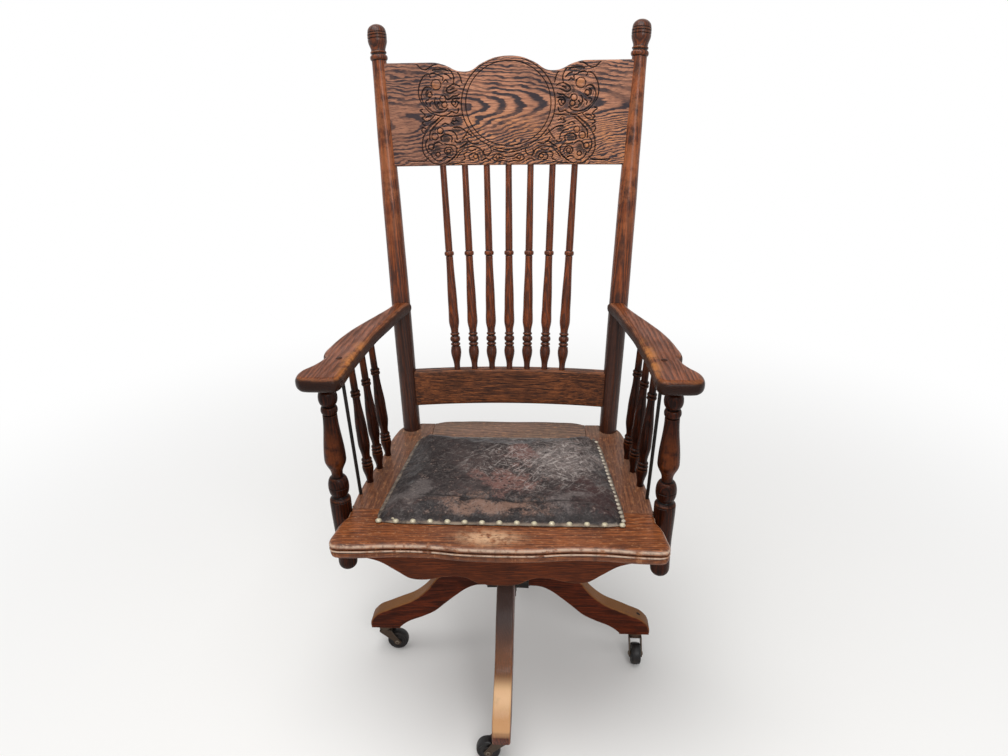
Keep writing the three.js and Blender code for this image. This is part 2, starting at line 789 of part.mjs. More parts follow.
function buildSideSpindle(parent, name, side, number) {
  const footY = number * sideSpindleSpacing - sideSpindleFront;
  const footX = sideEdgeAt(footY) - sideSpindleInset;
  const foot = new THREE.Vector3(side * footX, footY, seatHeight);
  const head = new THREE.Vector3(side * (footX + sideSpindleLean), footY, armUnderside);
  const length = foot.distanceTo(head);
  const shoulder = 2 * fitGap + sideSpindleRadius * sideSpindleLean / length;
  const run = length - 2 * shoulder;
  const shaft = sideSpindleShares.map(([heightShare, radiusShare]) => [
    shoulder + heightShare * run,
    radiusShare * sideSpindleRadius,
  ]);
  const profile = withTenons(shaft, length, sideTenonRadius, sideTenonLength);
  const label = `arm_spindle_${name}_${number + 1}`;
  const spindle = piece(parent, label, turned(profile, coarseSides), redOak);
  standBetween(spindle, foot, head);
  spindle.userData.length = length;
  return spindle;
}

// Tension rod: it passes through the seat and the arm and has a nut below and a head above.
function buildRod(parent, name, side) {
  const footX = sideEdgeAt(-rodPlace) - rodInset;
  const foot = new THREE.Vector3(side * footX, -rodPlace, seatUnderside);
  const head = new THREE.Vector3(side * (footX + rodLean), -rodPlace, armTop);
  const length = foot.distanceTo(head);
  const seatGap = 2 * fitGap;
  const profile = [
    [-seatGap - rodNutHeight - rodEnd, rodRadius],
    [-seatGap - rodNutHeight, rodRadius],
    [-seatGap - rodNutHeight, rodNutRadius],
    [-seatGap, rodNutRadius],
    [-seatGap, rodRadius],
    [length + seatGap, rodRadius],
    [length + seatGap, rodNutRadius],
    [length + seatGap + rodEnd, rodNutRadius * rodCrownShare],
  ];
  const tie = piece(parent, `arm_rod_${name}`, turned(profile, coarseSides), blackIron);
  standBetween(tie, foot, head);
  tie.userData.length = length;
  return tie;
}

function rodTool(tie) {
  return toolFor(tie, rod(-overrun, tie.userData.length + overrun, rodRadius + fitGap, coarseSides));
}

// Cast iron under the seat: two arms, two cross bars, two lugs for the axle and two for the tension hook.
function lugPlate(x, y, thickness, radius) {
  const plate = box(thickness, 2 * radius, seatUnderside - fitGap - overrun - pivotHeight, x, y, pivotHeight);
  const round = rodAlongX(thickness / 2, radius, ironSides).translate(x, y, pivotHeight);
  return joined(plate, round);
}

function buildSpider(parent) {
  const top = seatUnderside - fitGap;
  const bottom = top - spiderThickness;
  const armCentre = spiderLength * (1 / 2 - spiderFrontShare);
  const rearBar = armCentre + spiderLength / 2 - spiderArmWidth;
  const armsAndBars = [
    box(spiderArmWidth, spiderLength, spiderThickness, -lugSpacing, armCentre, bottom),
    box(spiderArmWidth, spiderLength, spiderThickness, lugSpacing, armCentre, bottom),
    box(2 * lugSpacing, spiderArmWidth, spiderThickness, 0, -hookReach, bottom),
    box(2 * lugSpacing, spiderArmWidth, spiderThickness, 0, rearBar, bottom),
  ];
  const lugs = Object.values(sides).flatMap((side) => [
    lugPlate(side * lugSpacing, 0, lugThickness, lugRadius),
    lugPlate(side * hookLugSpacing, -hookReach, hookLugThickness, 2 * hookPinRadius),
  ]);
  const hookPin = rodAlongX(hookLugSpacing, hookPinRadius, ironSides).translate(0, -hookReach, pivotHeight);
  const bore = rodAlongX(axleLength, axleRadius + fitGap, ironSides).translate(0, 0, pivotHeight);
  const casting = cutFrom(joined(...armsAndBars, ...lugs, hookPin), bore);
  return piece(parent, "seat_spider", casting, blackIron);
}

function buildAxle(parent) {
  const half = axleLength / 2;
  const profile = [
    [-half - axleHeadLength, axleHeadRadius],
    [-half, axleHeadRadius],
    [-half, axleRadius],
    [half, axleRadius],
    [half, axleHeadRadius],
    [half + axleHeadLength, axleHeadRadius],
  ];
  const axle = piece(parent, "tilt_axle", turned(profile, ironSides), brownIron);
  axle.rotation.y = Math.PI / 2;
  axle.position.z = pivotHeight;
  return axle;
}

// Yoke on the head of the screw: a boss, a barrel round the axle and an arm over the springs.
function buildYoke(parent) {
  const barrelHalf = lugSpacing - lugThickness / 2 - 2 * fitGap;
  const barrel = rodAlongX(barrelHalf, barrelRadius, ironSides).translate(0, 0, pivotHeight);
  const bossProfile = [[yokeBottom, bossRadius], [yokeArmBottom, bossRadius], [pivotHeight, barrelRadius]];
  const boss = turned(bossProfile, ironSides);
  const neck = box(yokeNeckWidth, hookReach, yokeArmThickness, 0, -hookReach / 2, yokeArmBottom);
  const bar = box(yokeArmWidth, springPlateDepth, yokeArmThickness, 0, -hookReach, yokeArmBottom);
  const bore = rodAlongX(axleLength, axleRadius + fitGap, ironSides).translate(0, 0, pivotHeight);
  const socket = rod(yokeBottom - overrun, pivotHeight - barrelRadius, screwRadius + fitGap, ironSides);
  const boltHole = rod(yokeArmBottom - overrun, pivotHeight, boltRadius + 2 * fitGap, ironSides);
  boltHole.translate(0, -hookReach, 0);
  const casting = cutFrom(joined(barrel, boss, neck, bar), bore, socket, boltHole);
  return piece(parent, "tilt_yoke", casting, blackIron);
}

function buildScrew(parent) {
  const top = pivotHeight - barrelRadius - fitGap;
  const tip = screwRadius - edgeEase;
  const profile = [[screwBottom, tip], [screwBottom + edgeEase, screwRadius], [top, screwRadius]];
  return piece(parent, "lift_screw", turned(profile, ironSides), brownIron);
}

// Bolt that the tilting seat pulls up by its slotted eye.
function buildTensionBolt(parent) {
  const swing = hookReach * (1 - Math.cos(THREE.MathUtils.degToRad(tiltAngle)));
  const eyeHalf = hookLugSpacing - hookLugThickness / 2 - 2 * fitGap;
  const eyeRadius = 2 * hookPinRadius + fitGap;
  const slotRadius = hookPinRadius + 2 * fitGap;
  const stadium = (radius, half) => joined(
    rodAlongX(half, radius, ironSides).translate(0, -hookReach, pivotHeight),
    rodAlongX(half, radius, ironSides).translate(0, -hookReach + swing, pivotHeight),
    box(2 * half, swing, 2 * radius, 0, -hookReach + swing / 2, pivotHeight - radius),
  );
  const eye = stadium(eyeRadius, eyeHalf);
  const slot = stadium(slotRadius, eyeHalf + overrun);
  const shank = rod(knobBottom - boltTail, pivotHeight, boltRadius, ironSides).translate(0, -hookReach, 0);
  return piece(parent, "tension_bolt", cutFrom(joined(eye, shank), slot), brownIron);
}

function buildSpringPlate(parent) {
  const plate = box(yokeArmWidth, springPlateDepth, springPlateThickness, 0, -hookReach, springPlateBottom);
  const hole = rod(springPlateBottom - overrun, springBottom + overrun, boltRadius + fitGap, ironSides);
  return piece(parent, "spring_plate", cutFrom(plate, hole.translate(0, -hookReach, 0)), blackIron);
}

// A wheel with a wavy rim for the hand.
function handWheel(radius, lobeDepth, lobes, bottom, height, bore) {
  const rimSteps = 4 * lobes;
  const rim = Array.from({ length: rimSteps }, (_, i) => {
    const angle = (2 * Math.PI * i) / rimSteps;
    const reach = radius - lobeDepth * (0.5 - 0.5 * Math.cos(lobes * angle));
    return new THREE.Vector2(reach * Math.cos(angle), reach * Math.sin(angle));
  });
  const wheel = board(rim, layersBy(easedShares, bottom, height, edgeEase));
  return cutFrom(wheel, rod(bottom - overrun, bottom + height + overrun, bore, ironSides));
}

const knobShape = [knobRadius, nutLobeDepth / 2, nutLobes];

function buildTensionKnob(parent) {
  const wheel = handWheel(...knobShape, knobBottom, knobHeight, boltRadius + fitGap);
  return piece(parent, "tension_knob", wheel.translate(0, -hookReach, 0), blackIron);
}

function buildNut(parent) {
  const wheel = handWheel(nutRadius, nutLobeDepth, nutLobes, nutBottom, nutHeight, screwRadius + fitGap);
  return piece(parent, "height_nut", wheel, blackIron);
}

// A compression spring whose first and last curls lie nearly closed.
class SpringLine extends THREE.Curve {
  getPoint(t) {
    const turn = t * springCurls;
    const run = springLength - 2 * springWire - 2 * fitGap;
    const openPitch = (run - 2 * springDeadPitch) / (springCurls - 2);
    const closedTurns = Math.min(turn, 1) + Math.max(turn - springCurls + 1, 0);
    const height = springDeadPitch * closedTurns + openPitch * (turn - closedTurns);
    const angle = 2 * Math.PI * turn;
    return new THREE.Vector3(springRadius * Math.cos(angle), springRadius * Math.sin(angle), height);
  }
}

const springStepsPerCurl = 8;
const springWireSides = 5;

const finePerCurl = 24;

function leastSpringGap(line) {
  const points = line.getPoints(finePerCurl * springCurls);
  let least = springLength;
  points.forEach((point, i) => {
    points.slice(i + finePerCurl / 2).forEach((other) => {
      least = Math.min(least, point.distanceTo(other) - 2 * springWire);
    });
  });
  return least;
}

function buildSpring(parent, name, side) {
  const line = new SpringLine();
  const section = new THREE.Shape();
  for (let i = 0; i < springWireSides; i += 1) {
    const angle = (2 * Math.PI * i) / springWireSides;
    const corner = [springWire * Math.cos(angle), springWire * Math.sin(angle)];
    i === 0 ? section.moveTo(...corner) : section.lineTo(...corner);
  }
  const steps = springStepsPerCurl * springCurls;
  const coil = new THREE.ExtrudeGeometry(section, { steps, bevelEnabled: false, extrudePath: line });
  const spring = piece(parent, `tilt_spring_${name}`, coil, springSteel);
  spring.position.set(side * springSpacing, -hookReach, springBottom + springWire + fitGap);
  console.log(`least gap in tilt_spring_${name}: ${leastSpringGap(line).toFixed(2)} mm`);
  return spring;
}

// Hub and sleeve
function buildHub(parent) {
  const profile = [
    [hubBottom, hubCorner - hubEase],
    [hubBottom + hubEase, hubCorner],
    [hubTop - hubEase, hubCorner],
    [hubTop, hubCorner - hubEase],
  ];
  const block = turned(profile, coarseSides).rotateZ(Math.PI / coarseSides);
  const bore = rod(hubBottom - overrun, hubTop + overrun, sleeveRadius + fitGap, ironSides);
  return piece(parent, "hub", cutFrom(block, bore), blackIron);
}

function buildSleeve(parent) {
  const flangeBottom = hubTop + fitGap;
  const profile = [
    [sleeveBottom, sleeveRadius],
    [flangeBottom, sleeveRadius],
    [flangeBottom, sleeveFlange],
    [flangeBottom + sleeveFlangeHeight, sleeveFlange],
  ];
  const bore = rod(sleeveBottom - overrun, nutTop, screwRadius + 2 * fitGap, ironSides);
  return piece(parent, "hub_sleeve", cutFrom(turned(profile, ironSides), bore), brownIron);
}

// Leg side view, from the hub's flat to the toe and from the foot's height to the top, as shares of each run.
const legTopShares = [
  [0, 0.987], [0.087, 0.993], [0.181, 0.954], [0.286, 0.855], [0.395, 0.722], [0.525, 0.505],
  [0.626, 0.397], [0.726, 0.335], [0.834, 0.268], [0.934, 0.202], [0.982, 0.134],
];
const legToeShare = 0.076;
const legUnderShares = [
  [0.754, 0.013], [0.72, 0.056], [0.664, 0.108], [0.555, 0.173], [0.445, 0.253], [0.353, 0.364],
  [0.262, 0.471], [0.173, 0.565], [0.101, 0.611], [0, 0.624],
];
const legTopSteps = 10;
const legUnderSteps = 9;

function buildLeg(parent, name) {
  const start = hubFlat + fitGap;
  const toPoint = ([reachShare, riseShare]) => [
    start + reachShare * (legReach - start),
    footHeight + riseShare * legRise,
  ];
  const over = throughPoints(legTopShares.map(toPoint), legTopSteps);
  const under = throughPoints(legUnderShares.map(toPoint), legUnderSteps);
  const toe = toPoint([1, legToeShare]);
  const sole = [[legReach, footHeight], [under[0][0], footHeight]];
  const outline = [...over, toe, ...sole, ...under];
  const shape = new THREE.Shape(outline.map(([x, y]) => new THREE.Vector2(x, y)));
  const bevel = { bevelThickness: legEase, bevelSize: legEase, bevelOffset: -legEase, bevelSegments: 1 };
  const extrusion = new THREE.ExtrudeGeometry(shape, { depth: legThickness - 2 * legEase, ...bevel });
  const slab = extrusion.translate(0, 0, legEase - legThickness / 2).rotateX(Math.PI / 2);
  const holeRadius = (stemRadius + fitGap) / Math.cos(Math.PI / coarseSides);
  const stemHole = rod(footHeight - overrun, footHeight + stemLength + fitGap, holeRadius, coarseSides);
  return piece(parent, `leg_${name}`, cutFrom(slab, stemHole.translate(stemReach, 0, 0)), legOak);
}

// Caster fork, standing on its own swivel axis and trailing towards +X.
function cheekShape() {
  const shape = new THREE.Shape();
  const top = footHeight - crownHeight;
  shape.moveTo(-bridgeBackShare * crownRadius, top + cheekThickness);
  shape.lineTo(-bridgeBackShare * crownRadius, top - cheekThickness);
  shape.lineTo(casterTrail - axleBossRadius, wheelAxleHeight);
  shape.absarc(casterTrail, wheelAxleHeight, axleBossRadius, Math.PI, 2 * Math.PI, false);
  shape.lineTo(bridgeFrontShare * crownRadius, top);
  shape.lineTo(bridgeFrontShare * crownRadius, top + cheekThickness);
  shape.closePath();
  return shape;
}

const cheekCurveSteps = 6;

function buildFork(parent, name) {
  const top = footHeight - fitGap;
  const bridgeBottom = footHeight - crownHeight;
  const pieces = Object.values(sides).map((side) => {
    const cheek = new THREE.ExtrudeGeometry(cheekShape(), {
      depth: cheekThickness,
      bevelEnabled: false,
      curveSegments: cheekCurveSteps,
    });
    const offset = side > 0 ? cheekPlace + cheekThickness : -cheekPlace;
    return cheek.rotateX(Math.PI / 2).translate(0, offset, 0);
  });
  const bridgeWidth = 2 * (cheekPlace + cheekThickness);
  const bridgeLength = (bridgeFrontShare + bridgeBackShare) * crownRadius;
  const bridgeCentre = ((bridgeFrontShare - bridgeBackShare) * crownRadius) / 2;
  const bridge = box(bridgeLength, bridgeWidth, cheekThickness, bridgeCentre, 0, bridgeBottom);
  const neck = crownRadius * crownTopShare;
  const crown = turned([[bridgeBottom, crownRadius], [top - cheekThickness, neck], [top, neck]], ironSides);
  const stem = rod(bridgeBottom, footHeight + stemLength, stemRadius, coarseSides);
  const axleHole = rod(-2 * wheelWidth, 2 * wheelWidth, casterAxleRadius + fitGap, coarseSides);
  axleHole.rotateX(Math.PI / 2).translate(casterTrail, 0, wheelAxleHeight);
  const fork = cutFrom(joined(...pieces, bridge, crown, stem), axleHole);
  return piece(parent, `caster_fork_${name}`, fork, brownIron);
}

const wheelShares = [[0, 0.88], [0.18, 1], [0.82, 1], [1, 0.88]];

function buildWheel(parent, name) {
  const disc = turnedByShares(-wheelWidth / 2, wheelWidth, wheelRadius, wheelShares, wheelSides);
  const bore = rod(-wheelWidth, wheelWidth, casterAxleRadius + fitGap, coarseSides);
  const wheel = piece(parent, `caster_wheel_${name}`, cutFrom(disc, bore), wheelBlack);
  wheel.geometry.rotateZ(Math.PI / wheelSides);
  wheel.rotation.x = Math.PI / 2;
  wheel.position.set(casterTrail, 0, wheelAxleHeight);
  return wheel;
}

function buildCasterAxle(parent, name) {
  const half = cheekPlace + cheekThickness;
  const profile = [
    [-half - cheekThickness, casterAxleHead],
    [-half - fitGap, casterAxleHead],
    [-half - fitGap, casterAxleRadius],
    [half + fitGap, casterAxleRadius],
    [half + fitGap, casterAxleHead],
    [half + cheekThickness, casterAxleHead],
  ];
  const axle = piece(parent, `caster_axle_${name}`, turned(profile, coarseSides), brownIron);
  axle.rotation.x = Math.PI / 2;
  axle.position.set(casterTrail, 0, wheelAxleHeight);
  return axle;
}

// The four legs by name, with the angle of each and the way that its caster trails.
const legAngles = { right: [0, -90], rear: [90, 15], left: [180, 0], front: [-90, 180] };

function buildBase(parent) {
  buildHub(parent);
  buildSleeve(parent);
  Object.entries(legAngles).forEach(([name, [legTurn, trailTurn]]) => {
    const arm = new THREE.Group();
    arm.rotation.z = THREE.MathUtils.degToRad(legTurn);
    parent.add(arm);
    buildLeg(arm, name);
    const caster = new THREE.Group();
    caster.position.x = stemReach;
    caster.rotation.z = THREE.MathUtils.degToRad(trailTurn - legTurn);
    arm.add(caster);
    buildFork(caster, name);
    buildWheel(caster, name);
    buildCasterAxle(caster, name);
  });
}

function buildLift(parent) {
  buildYoke(parent);
  buildScrew(parent);
  buildTensionBolt(parent);
  buildSpringPlate(parent);
  buildTensionKnob(parent);
  Object.entries(sides).forEach(([name, side]) => buildSpring(parent, name, side));
}

function buildUpper(parent) {
  const frontRail = buildFrontRail(parent);
  buildBackRail(parent);
  buildSeatPanel(parent);
  buildPad(parent);
  buildApron(parent);
  buildCleat(parent);
  buildSpider(parent);
  buildAxle(parent);
  const crest = buildCrest(parent);
  const lowerRail = buildLowerRail(parent);
  const backSpindles = Array.from({ length: backSpindleCount }, (_, i) => buildBackSpindle(parent, i));
  const backHoles = backSpindles.map((spindle) => spindleTool(spindle, backTenonRadius, backTenonLength));
  carve(crest, ...backHoles);
  carve(lowerRail, ...backHoles);
  Object.entries(sides).forEach(([name, side]) => {
    const sideRail = buildSideRail(parent, name, side);
    const backPost = buildBackPost(parent, name, side);
    const arm = buildArm(parent, name, side);
    const armPost = buildArmPost(parent, name, side);
    const tie = buildRod(parent, name, side);
    const numbers = Array.from({ length: sideSpindleCount }, (_, i) => i);
    const spindles = numbers.map((number) => buildSideSpindle(parent, name, side, number));
    const holes = spindles.map((spindle) => spindleTool(spindle, sideTenonRadius, sideTenonLength));
    carve(crest, backPostTool(backPost));
    carve(lowerRail, backPostTool(backPost));
    carve(arm, backPostTool(backPost), armPostTool(armPost), rodTool(tie), ...holes);
    carve(frontRail, armPostTool(armPost));
    carve(sideRail, postTenonTool(backPost), armPostTool(armPost), rodTool(tie), ...holes);
  });
}

// The chair is built about its swivel axis and then moved so that its box stands centred on the origin.
const chair = new THREE.Group();
buildBase(chair);
buildNut(chair);
buildLift(chair);
buildUpper(chair);
const reach = new THREE.Box3().setFromObject(chair);
chair.position.x = -(reach.min.x + reach.max.x) / 2;
chair.position.y = -(reach.min.y + reach.max.y) / 2;
chair.position.z = -reach.min.z;
console.log(`swivel axis at x ${chair.position.x.toFixed(3)}, y ${chair.position.y.toFixed(3)} mm`);
console.log(`seat at z ${seatHeight.toFixed(3)} mm, tilt axle at z ${pivotHeight.toFixed(3)} mm`);
console.log(`moved up by ${chair.position.z.toFixed(4)} mm`);

export default chair;
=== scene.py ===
import math

import bpy
import numpy as np
from mathutils import Matrix, Vector, noise


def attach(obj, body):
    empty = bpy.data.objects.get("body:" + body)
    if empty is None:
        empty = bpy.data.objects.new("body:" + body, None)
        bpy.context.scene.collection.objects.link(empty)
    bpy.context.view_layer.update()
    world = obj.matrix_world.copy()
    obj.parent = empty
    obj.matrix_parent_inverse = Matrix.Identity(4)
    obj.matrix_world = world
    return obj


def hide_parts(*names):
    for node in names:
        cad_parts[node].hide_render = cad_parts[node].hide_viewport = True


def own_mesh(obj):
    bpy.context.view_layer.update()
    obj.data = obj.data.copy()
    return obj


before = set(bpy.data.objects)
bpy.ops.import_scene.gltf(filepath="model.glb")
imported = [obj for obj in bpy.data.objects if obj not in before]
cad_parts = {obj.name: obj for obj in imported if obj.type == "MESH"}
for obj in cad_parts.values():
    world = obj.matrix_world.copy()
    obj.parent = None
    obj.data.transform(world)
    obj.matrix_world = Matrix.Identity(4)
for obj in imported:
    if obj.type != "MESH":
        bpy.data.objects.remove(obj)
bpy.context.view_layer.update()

# All sizes are millimetres about the swivel axis, with the floor at 0 and the front towards -Y.
MM = 0.001
GAP = 0.3
AXIS = Vector((0.0, -4.828, 0.0))
SIDES = {"left": -1, "right": 1}
# Legs: the angle of each about the axis, and the angle at which its caster trails, in degrees.
LEGS = {"right": (0, -90), "rear": (90, 15), "left": (180, 0), "front": (-90, 180)}

# Seat
SEAT = 470.0
SEAT_THICK = 28.0
UNDER = SEAT - SEAT_THICK
SEAT_FRONT = 277.0
SEAT_BACK = 140.0
FRONT_HALF = 268.0
SIDE_HALF = 254.0
JOINT = 172.0
PANEL_HALF = 154.0
PANEL_BACK = 66.0
BACK_BULGE = 13.0
JOINT_GAP = 0.35
BOARD_EASE = 3.2
NOTCH_R = 18.2
NOTCH_LEAD = 1.5

# Hide pad and its tacks
PAD_FRONT = 216.0
PAD_BACK = 80.0
PAD_DEEP = PAD_FRONT + PAD_BACK
PAD_FRONT_HALF = 209.0
PAD_BACK_HALF = 178.0
PAD_EDGE = 3.0
PAD_CROWN = 15.0
PAD_PROUD = 4.0
PAD_BASE = SEAT + 0.5
HIDE_THICK = 2.4
HIDE_LEVEL = 1.5
STUFFED_LIMIT = 4.0
TACK_LEVEL = SEAT + 3.1
TACK_SINK = 0.6
TACK_RIM = 0.2
FRONT_TACKS = 15
FRONT_TACK_STEP = 28.4
FRONT_TACK_START = -199.0

# Apron
APRON_HALF = 222.0
APRON_DEPTH = 54.0
APRON_THICK = 22.0
APRON_BACK = 15.0
APRON_TOP = UNDER - GAP
APRON_EASE = 2.4

# Back
POST_R = 18.25
POST_X = 199.5
POST_Y = 120.0
SPLAY = 40.5 / 694.0
LEAN = math.tan(math.radians(12.2))
COLLAR = 1164.0
CREST_LOW = 976.0
CREST_TOP = 1156.0
CREST_THICK = 20.0
CREST_BOW = 10.0
CREST_DIP = 17.0
CREST_DOME = 10.0
CREST_EASE = 3.0
MEDAL_Z = 1084.0
RAIL_LOW = 519.0
RAIL_TOP = 587.0
RAIL_THICK = 21.0
RAIL_BOW = 17.0
RAIL_EASE = 3.5
SPINDLES = 7
SPINDLE_FOOT = 105.5
SPINDLE_TOP = 125.5

# Arms
ARM_TOP = 727.0
ARM_THICK = 25.0
ARM_UNDER = ARM_TOP - ARM_THICK
ARM_OUTER = 311.0
ARM_FRONT = 212.0
ARM_LENGTH = 376.0
ARM_LOWER_ROUND = (12.0, 9.0)
ARM_UPPER_ROUND = 10.0
ARM_POST_X = 271.0
ARM_POST_Y = 171.0
ARM_POST_LOW = 346.0
SIDE_SPINDLES = 3
SIDE_FRONT = 86.0
SIDE_STEP = 47.5
SIDE_INSET = 9.5
SIDE_LEAN = 13.0
ROD_Y = 127.0
ROD_INSET = 6.0
ROD_LEAN = 12.0
ROD_R = 3.0
ROD_NUT_R = 7.0
ROD_NUT_HIGH = 5.0
PLUG_R = 5.5

# Base and casters
LEG_REACH = 291.0
LEG_RISE = 194.0
LEG_THICK = 33.0
LEG_EASE = 4.0
FOOT = 62.0
HUB_FLAT = 42.0
HUB_LOW = 178.0
HUB_STEP = 192.0
HUB_TOP = 262.0
HUB_RIM = 9.0
HUB_WAISTS = (25.0, 30.0, 35.0)
STEM_REACH = 264.0
STEM_R = 4.4
STEM_RISE = 26.0
WHEEL_R = 22.5
WHEEL_WIDTH = 19.0
AXLE_Z = WHEEL_R * math.cos(math.pi / 20)
TRAIL = 25.0
CHEEK = 2.5
CHEEK_PLACE = WHEEL_WIDTH / 2 + 1.2
CHEEK_R = 8.0
FORK_BACK = -11.2
FORK_FRONT = 14.0
FORK_DROP = 11.0
PIN_R = 3.0
PIN_HEAD = 4.8

# Lift, tilt and springs
SCREW_R = 12.3
SCREW_LOW = 168.0
SCREW_HIGH = 372.0
SCREW_PITCH = 6.0
SCREW_DEPTH = 1.5
NUT_LOW = 268.6
NUT_HIGH = 27.0
PIVOT = 402.0
HOOK = 88.0
SPRING_X = 21.0
SPRING_R = 11.0
SPRING_WIRE = 2.4
SPRING_LOW = 320.4
SPRING_LENGTH = 54.0
SPRING_TURNS = 6
SPRING_DEAD = 5.6
KNOB_LOW = SPRING_LOW - 26.6
SPIDER_SCREW_X = 54.0
SPIDER_SCREWS_Y = (-106.0, -60.0, 30.0, 68.0)
SPIDER_UNDER = UNDER - 6.3


# Colours and materials
def rgb(red, green, blue):
    parts = [value / 255 for value in (red, green, blue)]
    return (*[part / 12.92 if part <= 0.04045 else ((part + 0.055) / 1.055) ** 2.4 for part in parts], 1)


class Value:
    """One output of a material's nodes. A sum or a product of it adds the node that works it out."""

    def __init__(self, graph, socket):
        self.graph = graph
        self.socket = socket

    def __add__(self, other):
        return self.graph.math("ADD", self, other)

    def __sub__(self, other):
        return self.graph.math("SUBTRACT", self, other)

    def __mul__(self, other):
        return self.graph.math("MULTIPLY", self, other)

    def __truediv__(self, other):
        return self.graph.math("DIVIDE", self, other)


class Graph:
    """One material and short ways to add its nodes."""

    def __init__(self, name, roughness=0.5, metallic=0.0, specular=0.5, coat=0.0, coat_rough=0.25):
        self.material = bpy.data.materials.new(name)
        self.material.use_nodes = True
        self.tree = self.material.node_tree
        self.shader = self.tree.nodes["Principled BSDF"]
        self.shader.inputs["Roughness"].default_value = roughness
        self.shader.inputs["Metallic"].default_value = metallic
        self.shader.inputs["Specular IOR Level"].default_value = specular
        self.shader.inputs["Coat Weight"].default_value = coat
        self.shader.inputs["Coat Roughness"].default_value = coat_rough

    def feed(self, socket, value):
        value = getattr(value, "socket", value)
        if isinstance(value, bpy.types.NodeSocket):
            self.tree.links.new(value, socket)
        else:
            socket.default_value = value

    def node(self, kind, inputs, output=0, **settings):
        made = self.tree.nodes.new(kind)
        for key, value in settings.items():
            setattr(made, key, value)
        for key, value in inputs.items():
            self.feed(made.inputs[key], value)
        return Value(self, made.outputs[output])

    def math(self, operation, first, second=0.0, third=0.0):
        return self.node("ShaderNodeMath", {0: first, 1: second, 2: third}, operation=operation)

    def root(self, value):
        return self.math("SQRT", value)

    def most(self, first, second):
        return self.math("MAXIMUM", first, second)

    def mix(self, share, first, second):
        inputs = {0: share, 6: first, 7: second}
        return self.node("ShaderNodeMix", inputs, output=2, data_type="RGBA")

    def noise(self, vector, scale, detail=2.0, rough=0.5, distortion=0.0, output=0):
        inputs = {"Vector": vector, "Scale": scale, "Detail": detail, "Roughness": rough}
        inputs["Distortion"] = distortion
        return self.node("ShaderNodeTexNoise", inputs, output)

    def step(self, value, low, high, least=0.0, most=1.0):
        inputs = {"Value": value, "From Min": low, "From Max": high, "To Min": least, "To Max": most}
        return self.node("ShaderNodeMapRange", inputs, interpolation_type="SMOOTHSTEP")

    def fade(self, place, span, most=1.0):
        """Rises softly from 0 at the span's first place, in millimetres, to its most at the second."""
        return self.step(place, span[0] * MM, span[1] * MM, 0.0, most)

    def vector(self, x, y, z):
        return self.node("ShaderNodeCombineXYZ", {0: x, 1: y, 2: z})

    def parts(self, vector):
        split = self.node("ShaderNodeSeparateXYZ", {0: vector}).socket.node
        return [Value(self, output) for output in split.outputs]

    def place(self):
        return self.node("ShaderNodeTexCoord", {}, output=3)

    def world(self):
        return self.parts(self.node("ShaderNodeNewGeometry", {}, output=0))

    def facing(self):
        return self.parts(self.node("ShaderNodeNewGeometry", {}, output=1))

    def relief(self):
        return self.node("ShaderNodeAttribute", {}, output=2, attribute_name="relief")

    def chance(self):
        return self.node("ShaderNodeObjectInfo", {}, output=5)

    def finish(self, colour, roughness, height, strength, depth):
        bump = self.node("ShaderNodeBump", {"Height": height, "Strength": strength, "Distance": depth * MM})
        self.feed(self.shader.inputs["Base Color"], colour)
        self.feed(self.shader.inputs["Roughness"], roughness)
        self.feed(self.shader.inputs["Normal"], bump)
        return self.material


# Places of wear: middle and half sizes in millimetres, and softness of the edge.
BALD_SEAT = ((-16, -247), (40, 16), 0.95)
RUBBED_ARM = ((236, -128), (12, 64), 0.8)
NAIL_HOLE = ((268, -6), (4, 3.4), 0.2)
BARE_HIDE = ((70, -34), (118, 92), 0.7)
BEHIND_TACKS = ((-6, -203), (220, 6.5), 0.6)
PATCH_SOFT = 0.85
HOLE_HIGH = 1.8
HOLE_SOFT = 0.3
# Where wear, dust, darker tones, painted highlights and painted shade, and the floor's white fade in: the place
# where each is absent and the place where it is full.
SEAT_DUST_FADE = (-170, 130)
ARM_SHADE_FADE = (726.2, 722.2)
ARM_HAND_SHADE_FADE = (-170, -200)
CREST_LOW_FADE = (1085, 1045)
CREST_WARM_LIGHT_FADE = (-130, -70)
CREST_SHADE_FADE = (-100, -180)
POST_RUBBED_AND_LIT_FADE = (300, 500)
POST_COLLAR_FADE = (710, 690)
POST_SHADED_FOOT_FADE = (300, 220)
POST_HEAD_FADE = (700, 750)
SPINDLE_FOOT_FADE = (115, 85)
VASE_LOW_FADE = (185, 215)
VASE_HIGH_FADE = (300, 240)
LEG_END_FADE = (225, 285)
LEG_DUST_AND_SHADE_FADE = (185, 135)
LEG_FOOT_HIGHLIGHT_FADE = (198, 232)
LEG_TOE_HIGHLIGHT_FADE = (238, 275)
FLOOR_FADE = (350, 2200)
# How far noise moves growth rings, the edge of the spindles' darker feet, and patches.
RING_WANDER = 55
ARCH_WANDER = 30
FOOT_DARK_WANDER = 50
PATCH_WANDER = 110
# Depths of the finest relief.
OAK_GRAIN = 0.4
HIDE_GRAIN = 1.0
METAL_GRAIN = 0.4
WHEEL_GRAIN = 0.3


def spot(graph, parts, middle, size, soft):
    """1 inside an ellipse on the X and Y of the given parts, and 0 outside it."""
    across = (parts[0] - middle[0] * MM) / (size[0] * MM)
    along = (parts[1] - middle[1] * MM) / (size[1] * MM)
    return graph.step(graph.root(across * across + along * along), 1 + soft, 1 - soft)


def figured(graph, along, across, deep, tilt, pith, ring):
    """Growth rings of a plain board, cut near its pith."""
    slow = graph.vector(along * 1.1, across * 9, deep * 9)
    side = across + pith[0] + (graph.noise(slow, 1.5, 3) - 0.5) * (RING_WANDER * MM)
    depth = along * tilt + deep + pith[1]
    return graph.root(side * side + depth * depth) * (1 / ring)


